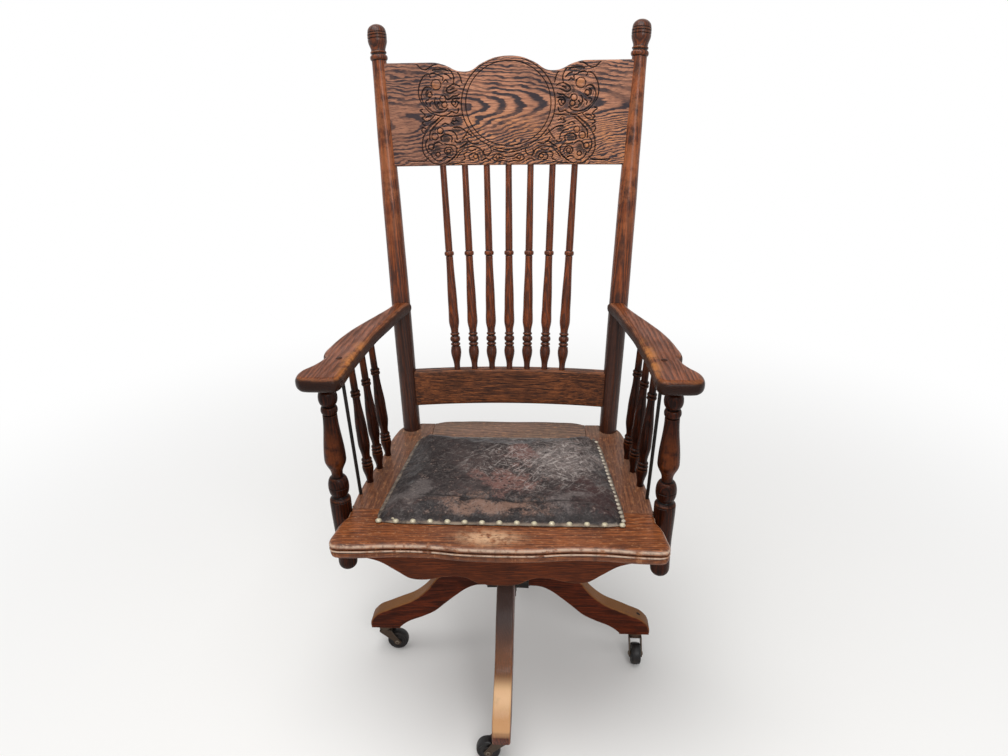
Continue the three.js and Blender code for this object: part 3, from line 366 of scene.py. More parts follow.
def cathedral(graph, along, across, deep, tilt, pith, ring):
    """Growth rings of the crest: long arches that point along the board, and wavy lines beside them."""
    slow = graph.vector(along * 15, deep * 36, 0.0)
    wave = (graph.noise(slow, 1.0, 3, 0.55) - 0.5) * (ARCH_WANDER * MM)
    skew = along * graph.step(deep, pith[1] + 0.01, pith[1] - 0.05, 0.0, 0.2)
    high = deep - pith[1] + wave - skew
    onward = graph.math("SMOOTH_MAX", along - pith[0], 0.0, 0.07)
    reach = graph.root(onward * tilt + high * high)
    return reach * (reach * 4.0 + 1.0) * (1 / ring)


def oak(name, light, middle, dark, grain="z", ring=0.006, tilt=0.12, pith=(0.05, 0.07), contrast=0.7,
        gloss=0.42, worn=(176, 112, 62), wear_and_sheen=0.4, figure=figured, jagged=0.2, duty=0.45, shine=0.25,
        coat=0.18, patchy=(0.35, 0.6), extra=None):
    """Stained oak with growth rings, pores and a darker glaze in its hollows."""
    light, middle, dark, worn = [rgb(*colour) for colour in (light, middle, dark, worn)]
    graph = Graph(name, specular=shine, coat=coat, coat_rough=0.16)
    place = graph.place()
    x, y, z = graph.parts(place)
    along, across, deep = {"x": (x, y, z), "y": (y, x, z), "z": (z, x, y)}[grain]
    shifted = along + graph.chance() * 7.3
    streak = graph.noise(graph.vector(shifted * 16, across * 420, deep * 420), 1.0, 3, 0.65)
    rings = figure(graph, along if figure is cathedral else shifted, across, deep, tilt, pith, ring)
    rings = graph.math("FRACT", (streak - 0.5) * (jagged * 4) + rings)
    early = graph.step(rings, 0.78 - duty, 1.02 - duty) * graph.step(rings, 1.0, 0.9)
    pores = graph.noise(graph.vector(shifted * 75, across * 1300, deep * 1300), 1.0, 1, 0.4)
    pores = graph.step(pores, 0.52, 0.64)
    cloud = graph.noise(place, 14.0, 3, 0.6)
    base = graph.mix(graph.step(streak, 0.32, 0.68), middle, light)
    faded = graph.step(graph.noise(place, 26.0, 2, 0.6), 0.3, 0.55, 0.45 * contrast, contrast)
    base = graph.mix(early * faded, base, dark)
    base = graph.mix(pores * 0.5, base, dark)
    base = graph.mix(graph.step(cloud, 0.4, 0.75, 0.0, 0.4), base, dark)
    relief = graph.relief()
    # Raised edges and beads turn pale: wear, and also a painted highlight.
    proud = graph.step(relief, 0.15, 0.9) * graph.step(graph.noise(place, 60.0, 3, 0.6), *patchy)
    base = graph.mix(proud * wear_and_sheen, base, worn)
    base = graph.mix(graph.step(relief, -0.08, -0.7) * 0.9, base, rgb(14, 8, 7))
    roughness = early * 0.12 + graph.step(cloud, 0.3, 0.7, gloss - 0.06, gloss + 0.1)
    if extra:
        base, roughness = extra(graph, place, base, roughness)
    return graph.finish(base, roughness, streak * 0.4 - (early + pores), 0.3, OAK_GRAIN)


def seat_wear(graph, place, base, roughness, flecks=(70, 190)):
    """Short flecks of grain, dust towards the back, a bald patch at the middle of the front and scuffs."""
    parts = graph.parts(place)
    fine = graph.noise(place, 90.0, 4, 0.65)
    coarse = graph.noise(place, 16.0, 3, 0.6)
    dusty = graph.fade(parts[1], SEAT_DUST_FADE) * graph.step(coarse, 0.3, 0.65)
    base = graph.mix(dusty * 0.42, base, rgb(104, 88, 74))
    bald = spot(graph, parts, *BALD_SEAT) * graph.step(fine, 0.3, 0.6)
    base = graph.mix(bald * 0.85, base, rgb(208, 168, 132))
    fleck = graph.noise(graph.vector(parts[0] * flecks[0], parts[1] * flecks[1], 0.0), 1.0, 4, 0.75)
    base = graph.mix(graph.step(fleck, 0.52, 0.66, 0.0, 0.5), base, rgb(52, 30, 20))
    base = graph.mix(graph.step(fleck, 0.46, 0.34, 0.0, 0.42), base, rgb(190, 134, 92))
    scuffs = graph.step(graph.noise(place, 230.0, 2), 0.66, 0.74) * graph.step(coarse, 0.45, 0.65)
    base = graph.mix(scuffs * 0.5, base, rgb(190, 160, 130))
    return base, bald * 0.2 + (dusty * 0.25 + roughness)


def side_wear(graph, place, base, roughness):
    """The same wear on the boards whose grain runs from front to back."""
    return seat_wear(graph, place, base, roughness, (190, 70))


def arm_wear_and_shade(graph, place, base, roughness):
    """Arms are rubbed golden along their inner edges, with painted shade on their rounded sides and undersides,
    darkest at the hands, which are glossy.
    """
    x, y, z = graph.parts(place)
    parts = (graph.math("ABSOLUTE", x), y, z)
    worn = graph.step(graph.noise(place, 50.0, 4, 0.7), 0.38, 0.58)
    rubbed = spot(graph, parts, *RUBBED_ARM) * worn
    base = graph.mix(rubbed * 0.75, base, rgb(186, 118, 56))
    # Painted shade: the rounded sides and undersides of the arms are darkened, most at the hands.
    under = graph.fade(worn * MM + z, ARM_SHADE_FADE)
    hand = graph.fade(y, ARM_HAND_SHADE_FADE)
    edge = graph.mix(hand, rgb(44, 22, 12), rgb(22, 11, 9))
    base = graph.mix(under * 0.9, base, edge)
    return base, under * hand * -0.38 + (under * 0.2 + roughness)


def crest_light_and_shade(graph, place, base, roughness):
    """The crest has painted warm light in its lower half, and painted shade towards its left end."""
    x, _, z = graph.parts(place)
    # Painted warm light over the lighter wood of the lower half.
    low = graph.fade(z, CREST_LOW_FADE) * graph.fade(x, CREST_WARM_LIGHT_FADE)
    warm_light = low * graph.step(graph.noise(place, 40.0, 3, 0.6), 0.35, 0.6)
    light = graph.step(graph.node("ShaderNodeRGBToBW", {0: base}), 0.06, 0.2)
    base = graph.mix(warm_light * light * 0.4, base, rgb(196, 126, 66))
    # Painted shade towards the left end.
    return graph.mix(graph.fade(x, CREST_SHADE_FADE) * 0.34, base, rgb(54, 36, 36)), roughness


def post_wear_highlight_and_shade(graph, place, base, roughness):
    """Back posts are a lighter brown above the arms, partly rubbed wear and partly a painted highlight, carry
    painted shade below the arms, and are dark at the finials.
    """
    z = graph.parts(place)[2]
    worn = graph.step(graph.noise(place, 30.0, 4, 0.7), 0.38, 0.62)
    # Above the arms: rubbed wear and a painted highlight.
    rubbed = graph.fade(z, POST_RUBBED_AND_LIT_FADE) * graph.fade(z, POST_COLLAR_FADE) * worn
    base = graph.mix(rubbed * 0.4, base, rgb(180, 108, 64))
    # Painted shade below the arms; the finials' dark is their own tone.
    dark = graph.most(graph.fade(z, POST_SHADED_FOOT_FADE), graph.fade(z, POST_HEAD_FADE, 0.72))
    return graph.mix(dark * 0.76, base, rgb(34, 16, 10)), roughness


def spindle_darker_feet(graph, place, base, roughness):
    """The feet and lower beads of the spindles are dark."""
    height = graph.noise(place, 25.0, 2) * (FOOT_DARK_WANDER * MM) + graph.parts(place)[2]
    return graph.mix(graph.fade(height, SPINDLE_FOOT_FADE, 0.5), base, rgb(30, 13, 8)), roughness


def vase_highlight(graph, place, base, roughness):
    """The fronts of the arm posts carry a painted highlight in a warm brown at the widest part of their vases.
    """
    z = graph.parts(place)[2]
    band = graph.fade(z, VASE_LOW_FADE) * graph.fade(z, VASE_HIGH_FADE)
    # Painted highlight: only faces turned to the front are lightened.
    front = graph.step(graph.facing()[1], -0.3, -0.95)
    rubbed = front * band * graph.step(graph.noise(place, 40.0, 3, 0.6), 0.3, 0.55)
    return graph.mix(rubbed * 0.4, base, rgb(132, 66, 28)), roughness


def upper_faces(graph, place, facing):
    return graph.step(facing[2], 0.2, 0.75) * graph.step(graph.noise(place, 22.0, 3), 0.1, 0.42)


def leg_wear(graph, place, base, roughness):
    """Legs fade to tan on their upper faces, and the right one has a nail hole."""
    x = graph.parts(place)[0]
    upper = upper_faces(graph, place, graph.facing())
    base = graph.mix(upper * 0.68, base, rgb(146, 102, 62))
    end = graph.fade(x, LEG_END_FADE) * upper
    base = graph.mix(end * 0.45, base, rgb(84, 54, 34))
    base = graph.mix(spot(graph, graph.world(), *NAIL_HOLE), base, rgb(14, 9, 7))
    return base, upper * 0.08 + roughness


def front_leg_shade_and_highlight(graph, place, base, roughness):
    """The front leg is grey near the hub with dust and painted shade, and carries a pale gold painted highlight
    towards the foot.
    """
    x = graph.parts(place)[0]
    facing = graph.facing()
    upper = upper_faces(graph, place, facing)
    base = graph.mix(upper * 0.34, base, rgb(150, 98, 52))
    # Dust and painted shade on the upper faces near the hub.
    dusty = graph.step(facing[2], 0.2, 0.5) * graph.fade(x, LEG_DUST_AND_SHADE_FADE)
    base = graph.mix(dusty * 0.9, base, rgb(60, 47, 45))
    # Painted highlight towards the foot, darker and warmer again at the toe.
    foot = graph.fade(x, LEG_FOOT_HIGHLIGHT_FADE) * upper
    base = graph.mix(foot * 0.86, base, rgb(243, 197, 148))
    toe = graph.fade(x, LEG_TOE_HIGHLIGHT_FADE) * upper
    base = graph.mix(toe * 0.8, base, rgb(176, 124, 76))
    return base, upper * 0.02 + roughness


def fibres(graph, place, turn, stretch, scale):
    """Fine pale scratches that run one way, from 0 to 1."""
    inputs = {"Vector": place, "Angle": math.radians(turn)}
    x, y, z = graph.parts(graph.node("ShaderNodeVectorRotate", inputs, rotation_type="Z_AXIS"))
    return graph.step(graph.noise(graph.vector(x * stretch, y, z), scale, 4, 0.7, 0.8), 0.55, 0.66)


# Patches of the hide: middle, half sizes, colour and amount.
HIDE_PATCHES = (
    ((-146, -66), (62, 96), (24, 18, 19), 0.85),
    ((-80, 34), (100, 36), (30, 26, 28), 0.6),
    ((98, -30), (76, 66), (128, 118, 114), 0.45),
    ((0, -106), (46, 34), (122, 85, 77), 0.68),
    ((30, -20), (24, 34), (116, 82, 76), 0.6),
    ((-10, -178), (80, 22), (144, 110, 93), 0.54),
    ((146, -146), (56, 40), (52, 28, 27), 0.75),
    ((-150, -152), (36, 26), (92, 84, 82), 0.7),
    ((118, -160), (34, 18), (98, 90, 88), 0.65),
    ((186, -196), (18, 14), (140, 130, 118), 0.8),
)
# Scratches of the hide: direction in degrees, stretch, scale and amount.
HIDE_SCRATCHES = (
    (20, 0.2, 240.0, 0.85), (-35, 0.22, 260.0, 0.8), (75, 0.25, 230.0, 0.6), (-58, 0.14, 130.0, 0.6),
)
HIDE_HOLES = ((4, -126, 2.2), (-12, -112, 2.4), (-2, -108, 2.4), (12, -114, 2.4), (176, -188, 2.4))


def hide():
    """Worn hide: dark grey brown under fine scratches, bald reddish patches and a ragged tan front."""
    graph = Graph("hide", specular=0.16)
    place = graph.place()
    parts = graph.parts(place)
    astray = graph.parts(graph.noise(place, 21.0, 3.0, output=1))
    reach = PATCH_WANDER * MM
    loose = [astray[axis] * reach + parts[axis] - reach / 2 for axis in (0, 1)]
    broad = graph.noise(place, 12.0, 5, 0.65, 0.8)
    middle = graph.noise(place, 55.0, 5, 0.7, 0.5)
    fine = graph.noise(place, 260.0, 4, 0.7)
    base = graph.mix(graph.step(broad, 0.34, 0.66), rgb(27, 22, 23), rgb(66, 55, 53))
    base = graph.mix(graph.step(middle, 0.52, 0.72) * 0.45, base, rgb(86, 54, 48))
    base = graph.mix(graph.step(middle, 0.5, 0.34) * 0.6, base, rgb(20, 16, 17))
    ragged = (middle - 0.5) * 2.0 + (fine * 1.6 - 0.8)
    for at, size, tint, amount in HIDE_PATCHES:
        patch = spot(graph, loose, at, size, PATCH_SOFT) + ragged
        base = graph.mix(graph.step(patch, 0.2, 1.0) * amount, base, rgb(*tint))
    bare = graph.most(spot(graph, loose, *BARE_HIDE), 0.16)
    open_hide = graph.step(broad, 0.35, 0.6, 0.45, 1.0) * bare
    for turn, stretch, scale, amount in HIDE_SCRATCHES:
        scratched = fibres(graph, place, turn, stretch, scale) * open_hide
        base = graph.mix(scratched * amount, base, rgb(176, 166, 160))
    base = graph.mix(graph.step(fine, 0.58, 0.72) * 0.2, base, rgb(150, 138, 130))
    base = graph.mix(graph.step(fine, 0.46, 0.32) * 0.45, base, rgb(18, 14, 14))
    behind_tacks = spot(graph, parts, *BEHIND_TACKS) * graph.step(middle, 0.36, 0.56)
    base = graph.mix(behind_tacks * 0.85, base, rgb(18, 13, 13))
    relief = graph.relief()
    dust = graph.step(relief, 0.1, 0.9) * graph.step(middle, 0.3, 0.5, 0.35, 0.85)
    base = graph.mix(dust, base, rgb(140, 124, 108))
    base = graph.mix(graph.step(relief, -0.05, -0.8) * 0.85, base, rgb(16, 12, 11))
    for x, y, wide in HIDE_HOLES:
        base = graph.mix(spot(graph, parts, (x, y), (wide, HOLE_HIGH), HOLE_SOFT), base, rgb(12, 9, 8))
    return graph.finish(base, graph.step(middle, 0.35, 0.7, 0.34, 0.6), middle * 2.0 + fine, 0.6, HIDE_GRAIN)


def metal(name, colour, rust, roughness, metallic, rusty=0.5):
    """Old iron or brass with dull patches and fine pitting."""
    graph = Graph(name, metallic=metallic)
    place = graph.place()
    blotch = graph.noise(place, 45.0, 4, 0.65)
    pits = graph.noise(place, 420.0, 3, 0.6)
    base = graph.mix(graph.step(blotch, 0.42, 0.68, 0.0, rusty), rgb(*colour), rgb(*rust))
    base = graph.mix(graph.step(pits, 0.55, 0.75, 0.0, 0.4), base, rgb(14, 12, 11))
    base = graph.mix(graph.step(graph.relief(), 0.2, 0.9, 0.0, 0.5), base, rgb(132, 122, 108))
    dull = graph.step(blotch, 0.35, 0.7, roughness - 0.08, roughness + 0.18)
    return graph.finish(base, dull, pits, 0.25, METAL_GRAIN)


def metal_set():
    return {
        "black": metal("black_iron", (34, 32, 31), (62, 46, 36), 0.5, 0.6),
        "brown": metal("brown_iron", (74, 61, 50), (70, 44, 30), 0.48, 0.75),
        "steel": metal("spring_steel", (104, 98, 90), (88, 62, 46), 0.4, 0.9),
        "brass": metal("tack_brass", (202, 192, 164), (146, 130, 104), 0.42, 0.25),
        "dusty": metal("tack_dusty", (190, 180, 162), (116, 102, 86), 0.55, 0.2, 0.6),
        "dull": metal("tack_dull", (84, 74, 66), (58, 46, 40), 0.6, 0.3, 0.7),
    }


def wheel_black():
    graph = Graph("wheel_black", specular=0.3)
    place = graph.place()
    dust = graph.noise(place, 70.0, 4, 0.65)
    base = graph.mix(graph.step(dust, 0.48, 0.78, 0.0, 0.3), rgb(19, 16, 16), rgb(88, 78, 72))
    roughness = graph.step(dust, 0.4, 0.7, 0.35, 0.7)
    return graph.finish(base, roughness, graph.noise(place, 500.0, 2), 0.2, WHEEL_GRAIN)


def oak_set():
    """The oak of each kind of piece: its light, middle and dark colours come first."""
    return {
        "red": oak("red_oak", (136, 65, 26), (86, 38, 15), (32, 14, 8), gloss=0.28, contrast=0.6,
                   ring=0.0028, tilt=0.03, shine=0.18, extra=spindle_darker_feet),
        "post": oak("post_oak", (142, 70, 29), (88, 40, 16), (30, 13, 8), gloss=0.28, contrast=0.75,
                    ring=0.0034, tilt=0.03, shine=0.18, extra=post_wear_highlight_and_shade),
        "dark": oak("dark_oak", (70, 28, 11), (35, 14, 6), (12, 5, 4), gloss=0.24, contrast=0.6,
                    ring=0.0028, tilt=0.03, shine=0.06, coat=0.09, worn=(120, 66, 34), extra=vase_highlight),
        "arm": oak("arm_oak", (136, 72, 37), (92, 46, 23), (34, 16, 9), grain="y", ring=0.0026,
                   tilt=0.02, gloss=0.34, contrast=0.5, wear_and_sheen=0.2, shine=0.12, coat=0.03, extra=arm_wear_and_shade),
        "crest": oak("crest_oak", (184, 128, 98), (140, 92, 70), (45, 36, 40), grain="x", ring=0.0085,
                     tilt=0.0105, pith=(-0.052, 1.081), contrast=1.0, gloss=0.5, figure=cathedral,
                     jagged=0.15, duty=0.42, wear_and_sheen=0.55, shine=0.2, coat=0.06, extra=crest_light_and_shade),
        "rail": oak("rail_oak", (156, 90, 50), (66, 32, 17), (24, 12, 8), grain="x", ring=0.0026,
                    tilt=0.03, contrast=0.95, jagged=0.35, shine=0.15, coat=0.08),
        # The front board's moulding rolls are painted pale: wear, and also a painted highlight.
        "front": oak("seat_oak", (156, 88, 46), (100, 52, 27), (44, 22, 14), grain="x", ring=0.0022,
                     tilt=0.02, gloss=0.36, contrast=0.45, worn=(206, 180, 158), wear_and_sheen=0.8, patchy=(0.3, 0.52),
                     shine=0.2, coat=0.12, extra=seat_wear),
        "back": oak("back_oak", (134, 98, 76), (106, 74, 58), (58, 42, 35), grain="x", ring=0.0024,
                    tilt=0.02, gloss=0.5, contrast=0.5, extra=seat_wear),
        "side": oak("side_oak", (132, 82, 54), (98, 58, 38), (46, 30, 24), grain="y", ring=0.0026,
                    tilt=0.02, gloss=0.42, contrast=0.3, worn=(160, 138, 120), extra=side_wear),
        "apron": oak("apron_oak", (112, 51, 21), (76, 33, 14), (28, 12, 7), grain="x", ring=0.0028,
                     tilt=0.03, contrast=0.5, shine=0.08, coat=0.04),
        "leg": oak("leg_oak", (106, 42, 15), (72, 25, 9), (28, 11, 6), grain="x", ring=0.004,
                   tilt=0.04, pith=(1.2, -0.15), gloss=0.4, contrast=0.55, shine=0.08, coat=0.04,
                   extra=leg_wear),
        "front_leg": oak("front_leg_oak", (116, 52, 22), (80, 32, 14), (32, 13, 7), grain="x",
                         ring=0.004, tilt=0.04, pith=(1.2, -0.15), gloss=0.3, contrast=0.55,
                         extra=front_leg_shade_and_highlight),
    }


# Forms
SMALL = 1e-9
SHARP_ANGLE = 40
HIDE_SHARP_ANGLE = 60
RELIEF_STEP = 0.5
RELIEF_REACH = 7
RELIEF_SPAN = 0.9
THINNEST = 0.05
CORNER_LEAST_SHARE = 0.4
CLEAR_SHARE = 0.985
BRIDGE_TRIES = 12
STEEP_SHARE = 0.9


def polar(radius, turn):
    return (radius * math.cos(turn), radius * math.sin(turn))


def quarter(steps):
    """Angles from 0 to a right angle."""
    return [math.pi / 2 * index / steps for index in range(steps + 1)]


def placed(x, y, z):
    return Matrix.Translation(Vector((x, y, z)))


def rotated(degrees, axis="Z"):
    return Matrix.Rotation(math.radians(degrees), 4, axis)


def upright(back):
    """Matrix that stands a board up: its underside at the given Y, its thickness towards the front."""
    return placed(0, back, 0) @ rotated(90, "X")


class Form:
    """Corners and faces in millimetres, with a relief for each corner, below 0 in hollows."""

    def __init__(self):
        self.points = []
        self.faces = []
        self.relief = []

    def add(self, points, faces, relief=None, matrix=None):
        base = len(self.points)
        places = [Vector(point) for point in points]
        self.points.extend(places if matrix is None else [matrix @ place for place in places])
        self.faces.extend(tuple(base + corner for corner in face) for face in faces)
        self.relief.extend(relief if relief is not None else [0.0] * len(points))
        return self


def in_metres(matrix):
    moved = matrix.copy()
    moved.translation = (matrix.translation + AXIS) * MM
    return moved


def piece(name, form, body, material, stands_for=(), matrix=None, sharp=SHARP_ANGLE, flat=False):
    mesh = bpy.data.meshes.new(name)
    mesh.from_pydata([tuple(MM * value for value in point) for point in form.points], [], form.faces)
    layer = mesh.attributes.new("relief", "FLOAT", "POINT")
    layer.data.foreach_set("value", form.relief)
    mesh.shade_smooth()
    mesh.set_sharp_from_angle(angle=math.radians(sharp))
    made = bpy.data.objects.new(name, mesh)
    bpy.context.scene.collection.objects.link(made)
    made.matrix_world = in_metres(matrix if matrix is not None else Matrix.Identity(4))
    mesh.materials.append(material)
    if flat:
        made.modifiers.new("even_shading", "WEIGHTED_NORMAL").keep_sharp = True
    bpy.context.view_layer.update()
    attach(made, body)
    if stands_for:
        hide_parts(*stands_for)
    return made


# How far the edges of the CAD nodes that stay are eased.
EASES = {
    "seat_panel": 0.4,
    "seat_rear_cleat": 1.5,
    "tilt_yoke": 1.2,
    "spring_plate": 1.0,
    "tension_bolt": 0.5,
    "seat_spider": 1.0,
}


def dress(node, material):
    """Gives a CAD node its material, flat faces in one piece and slightly rounded edges."""
    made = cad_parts[node]
    made.data.materials.clear()
    made.data.materials.append(material)
    for polygon in made.data.polygons:
        polygon.use_smooth = True
    made.modifiers.new("weld", "WELD").merge_threshold = 1e-6
    flatten = made.modifiers.new("flatten", "DECIMATE")
    flatten.decimate_type = "DISSOLVE"
    flatten.angle_limit = math.radians(1)
    bevel = made.modifiers.new("ease", "BEVEL")
    bevel.width = EASES[node] * MM
    bevel.segments = 2
    bevel.limit_method = "ANGLE"
    bevel.angle_limit = math.radians(35)
    made.modifiers.new("even_shading", "WEIGHTED_NORMAL").keep_sharp = True


def flow(*pairs, step=1.0):
    """Height and radius pairs joined by soft S curves, so a listed pair is a crest, a hollow or an end."""
    out = []
    for (low, first), (high, second) in zip(pairs, pairs[1:]):
        count = max(2, int(abs(high - low) / step))
        for index in range(count):
            share = index / count
            eased = (1 - math.cos(math.pi * share)) / 2
            out.append((low + (high - low) * share, first + (second - first) * eased))
    out.append(pairs[-1])
    return out


def bead(low, high, edge, top, count=9):
    """A round bead, or a round groove where top is less than edge."""
    rise = (high - low) / 2
    turns = [math.pi * index / count for index in range(count + 1)]
    return [(low + rise * (1 - math.cos(turn)), edge + (top - edge) * math.sin(turn)) for turn in turns]


def dome(low, high, radius, count=7):
    """A rounded end that closes a turned form at its top, or at its bottom where high is less than low."""
    turns = quarter(count)
    out = [(low + (high - low) * math.sin(turn), max(radius * math.cos(turn), THINNEST)) for turn in turns]
    return out if high > low else out[::-1]


def turned_relief(heights, radii):
    """How far each ring of a turned form stands above or below its smoothed line, from -1 to 1."""
    grid = np.arange(heights.min(), heights.max() + RELIEF_STEP, RELIEF_STEP)
    order = np.argsort(heights, kind="stable")
    line = np.interp(grid, heights[order], radii[order])
    window = np.hanning(2 * RELIEF_REACH + 3)[1:-1]
    padded = np.pad(line, RELIEF_REACH, mode="edge")
    smooth = np.convolve(padded, window / window.sum(), mode="valid")
    return np.clip((radii - np.interp(heights, grid, smooth)) / RELIEF_SPAN, -1, 1)


def loft(form, rings, relief=None, matrix=None):
    """Joins closed rings of equal count, with a face over each end."""
    count = len(rings[0])
    points = [point for ring in rings for point in ring]
    faces = []
    for row in range(len(rings) - 1):
        for column in range(count):
            first = row * count + column
            second = row * count + (column + 1) % count
            faces.append((first, second, second + count, first + count))
    faces.append(tuple(range(count))[::-1])
    faces.append(tuple(range(len(points) - count, len(points))))
    return form.add(points, faces, relief, matrix)


def spin(form, profile, count=40, matrix=None):
    """A turned form about Z."""
    heights = np.array([height for height, radius in profile], float)
    radii = np.array([radius for height, radius in profile], float)
    turns = [2 * math.pi * index / count for index in range(count)]
    rings = [[(*polar(radius, turn), height) for turn in turns] for height, radius in zip(heights, radii)]
    values = [float(value) for value in turned_relief(heights, radii) for turn in turns]
    return loft(form, rings, values, matrix)


def unit(vectors):
    return vectors / np.maximum(np.linalg.norm(vectors, axis=1, keepdims=True), SMALL)


def bridged(points, good):
    """Moves the points that aren't good onto straight lines between their good neighbours."""
    out = points.copy()
    keep = np.flatnonzero(good)
    count = len(points)
    for index in np.flatnonzero(~good):
        before = keep[keep < index][-1] if (keep < index).any() else keep[-1] - count
        later = keep[keep > index][0] if (keep > index).any() else keep[0] + count
        share = (index - before) / (later - before)
        out[index] = points[before % count] * (1 - share) + points[later % count] * share
    return out


def inset(outline, depths):
    """Draws a closed anticlockwise outline in by a depth for each point, and closes up what would cross."""
    line = np.array(outline, float)
    depth = np.array(depths, float)
    edge = np.roll(line, -1, axis=0) - line
    ahead = unit(edge)
    behind = np.roll(ahead, 1, axis=0)
    sharp = np.maximum(1 + (ahead * behind).sum(axis=1), CORNER_LEAST_SHARE)
    inward = np.stack([-(ahead + behind)[:, 1], (ahead + behind)[:, 0]], axis=1) / sharp[:, None]
    raw = line + inward * depth[:, None]
    length = np.maximum((edge ** 2).sum(axis=1), SMALL)
    away = raw[:, None, :] - line[None, :, :]
    share = np.clip((away * edge[None, :, :]).sum(axis=2) / length[None, :], 0, 1)
    gap = np.linalg.norm(away - share[:, :, None] * edge[None, :, :], axis=2)
    good = gap.min(axis=1) >= CLEAR_SHARE * depth - 1e-6
    drawn = raw
    for _ in range(BRIDGE_TRIES):
        if good.sum() < 3:
            return raw
        drawn = bridged(raw, good)
        turned = ((np.roll(drawn, -1, axis=0) - drawn) * edge).sum(axis=1) < -SMALL
        if not turned.any():
            break
        good = good & ~turned & ~np.roll(turned, 1)
    return drawn


def board(form, outline, layers, freedom=None, matrix=None):
    """A board whose edge is drawn in layer by layer. A layer is its height, its depth and its relief."""
    free = [1.0] * len(outline) if freedom is None else list(freedom)
    gaps = [math.dist(point, outline[index - 1]) for index, point in enumerate(outline)]
    kept = [index for index, gap in enumerate(gaps) if gap > THINNEST]
    line = [outline[index] for index in kept]
    free = np.array([free[index] for index in kept], float)
    rings = [[(x, y, height) for x, y in inset(line, free * depth)] for height, depth, value in layers]
    values = [value for height, depth, value in layers for point in line]
    return loft(form, rings, values, matrix)


def rounded(low, thick, ease, steps=4, worn=0.7):
    """Layers of a board with both edges rounded."""
    lower = [(low + ease * (1 - math.sin(turn)), ease * (1 - math.cos(turn)), worn * math.sin(2 * turn))
             for turn in quarter(steps)[::-1]]
    upper = [(2 * low + thick - height, depth, value) for height, depth, value in lower[::-1]]
    return lower + upper


def block(form, low, high, ease):
    """A block with rounded edges between two corners."""
    pairs = ((low[0], low[1]), (high[0], low[1]), (high[0], high[1]), (low[0], high[1]))
    outline = [Vector(pair) for pair in pairs]
    corners = []
    for index, corner in enumerate(outline):
        for other in (outline[index - 1], outline[(index + 1) % len(outline)]):
            corners.append(tuple(corner + (other - corner).normalized() * ease))
    return board(form, corners, rounded(low[2], high[2] - low[2], ease, 2))


def curve(points, count):
    """A smooth line through the points, divided by its length."""
    line = np.array(points, float)
    gaps = np.maximum(np.linalg.norm(np.diff(line, axis=0), axis=1), 1e-6)
    knots = np.concatenate([[0], np.cumsum(gaps)])
    slopes = np.diff(line, axis=0) / gaps[:, None]
    tangents = np.vstack([slopes[:1], slopes[:-1], slopes[-1:]])
    if len(line) > 2:
        shares = (gaps[:-1] / (gaps[:-1] + gaps[1:]))[:, None]
        tangents = np.vstack([slopes[:1], slopes[:-1] * (1 - shares) + slopes[1:] * shares, slopes[-1:]])
    out = []
    for place in np.unique(np.concatenate([np.linspace(0, knots[-1], count + 1), knots])):
        span = min(int(np.searchsorted(knots, place, "right")) - 1, len(gaps) - 1)
        gap = gaps[span]
        share = (place - knots[span]) / gap
        square = share * share
        cube = square * share
        value = (2 * cube - 3 * square + 1) * line[span] + (3 * square - 2 * cube) * line[span + 1]
        turn = (cube - 2 * square + share) * tangents[span] + (cube - square) * tangents[span + 1]
        value = value + gap * turn
        out.append(tuple(float(part) for part in value))
    return out


def tube(form, path, radius, count=10):
    """A round wire along a path."""
    line = [Vector(point) for point in path]
    up = Vector((0, 0, 1))
    normal = up.orthogonal() if abs((line[1] - line[0]).normalized().z) > STEEP_SHARE else up
    turns = [2 * math.pi * step / count for step in range(count)]
    rings = []
    for index, point in enumerate(line):
        ahead = line[min(index + 1, len(line) - 1)] - line[max(index - 1, 0)]
        ahead.normalize()
        normal = (normal - ahead * normal.dot(ahead)).normalized()
        side = ahead.cross(normal)
        rings.append([point + (normal * math.cos(turn) + side * math.sin(turn)) * radius for turn in turns])
    return loft(form, rings)


def standing(foot, head):
    """Matrix of a form whose Z runs from foot to head."""
    turn = Vector((0, 0, 1)).rotation_difference((head - foot).normalized())
    return Matrix.Translation(foot) @ turn.to_matrix().to_4x4()


def post_centre(height):
    """The middle line of the right back post."""
    rise = height - SEAT
    return Vector((POST_X + SPLAY * rise, POST_Y + LEAN * rise, height))


def bowed(share, bow):
    """How far a bent rail of the back stands behind the line between its ends."""
    return bow * (1 - share * share)


def mirrored(points):
    """The pairs on the other side of the chair, listed the other way, so a closed line turns as before."""
    return [(-x, y) for x, y in points[::-1]]


def dense(points, spacing):
    """The corners of a line with more points between them."""
    out = []
    for first, second in zip(points, points[1:]):
        count = max(1, int(math.dist(first, second) / spacing))
        out.extend(tuple(Vector(first).lerp(Vector(second), index / count)) for index in range(count))
    out.append(tuple(points[-1]))
    return out


# Seat
FRONT_SHARES = ((0, 1), (0.2, 0.995), (0.42, 0.973), (0.62, 0.972), (0.84, 0.988), (0.94, 0.99))
EAR_SHARES = ((0.985, 0.978), (1, 0.955), (0.996, 0.86), (0.978, 0.76), (0.952, 0.7))
SIDE_SHARES = (
    (0, 1), (0.15, 0.996), (0.28, 0.984), (0.43, 0.955), (0.58, 0.932), (0.84, 0.902), (0.925, 0.876),
    (0.985, 0.83),
)
APRON_SHARES = (
    (1, 0.05), (0.86, 0.22), (0.74, 0.55), (0.64, 0.82), (0.55, 0.86), (0.46, 0.8),
    (0.38, 0.72), (0.3, 0.7), (0.23, 0.76), (0.15, 0.94), (0.07, 1), (0, 1),
)
BULGE_SHARE = 0.6
BULGE_START_SHARE = 0.95
BULGE_RISE = 5.0
HELD_EDGE = 1.0
HELD_SHARE = 0.1
SIDE_HELD_SHARE = 0.15
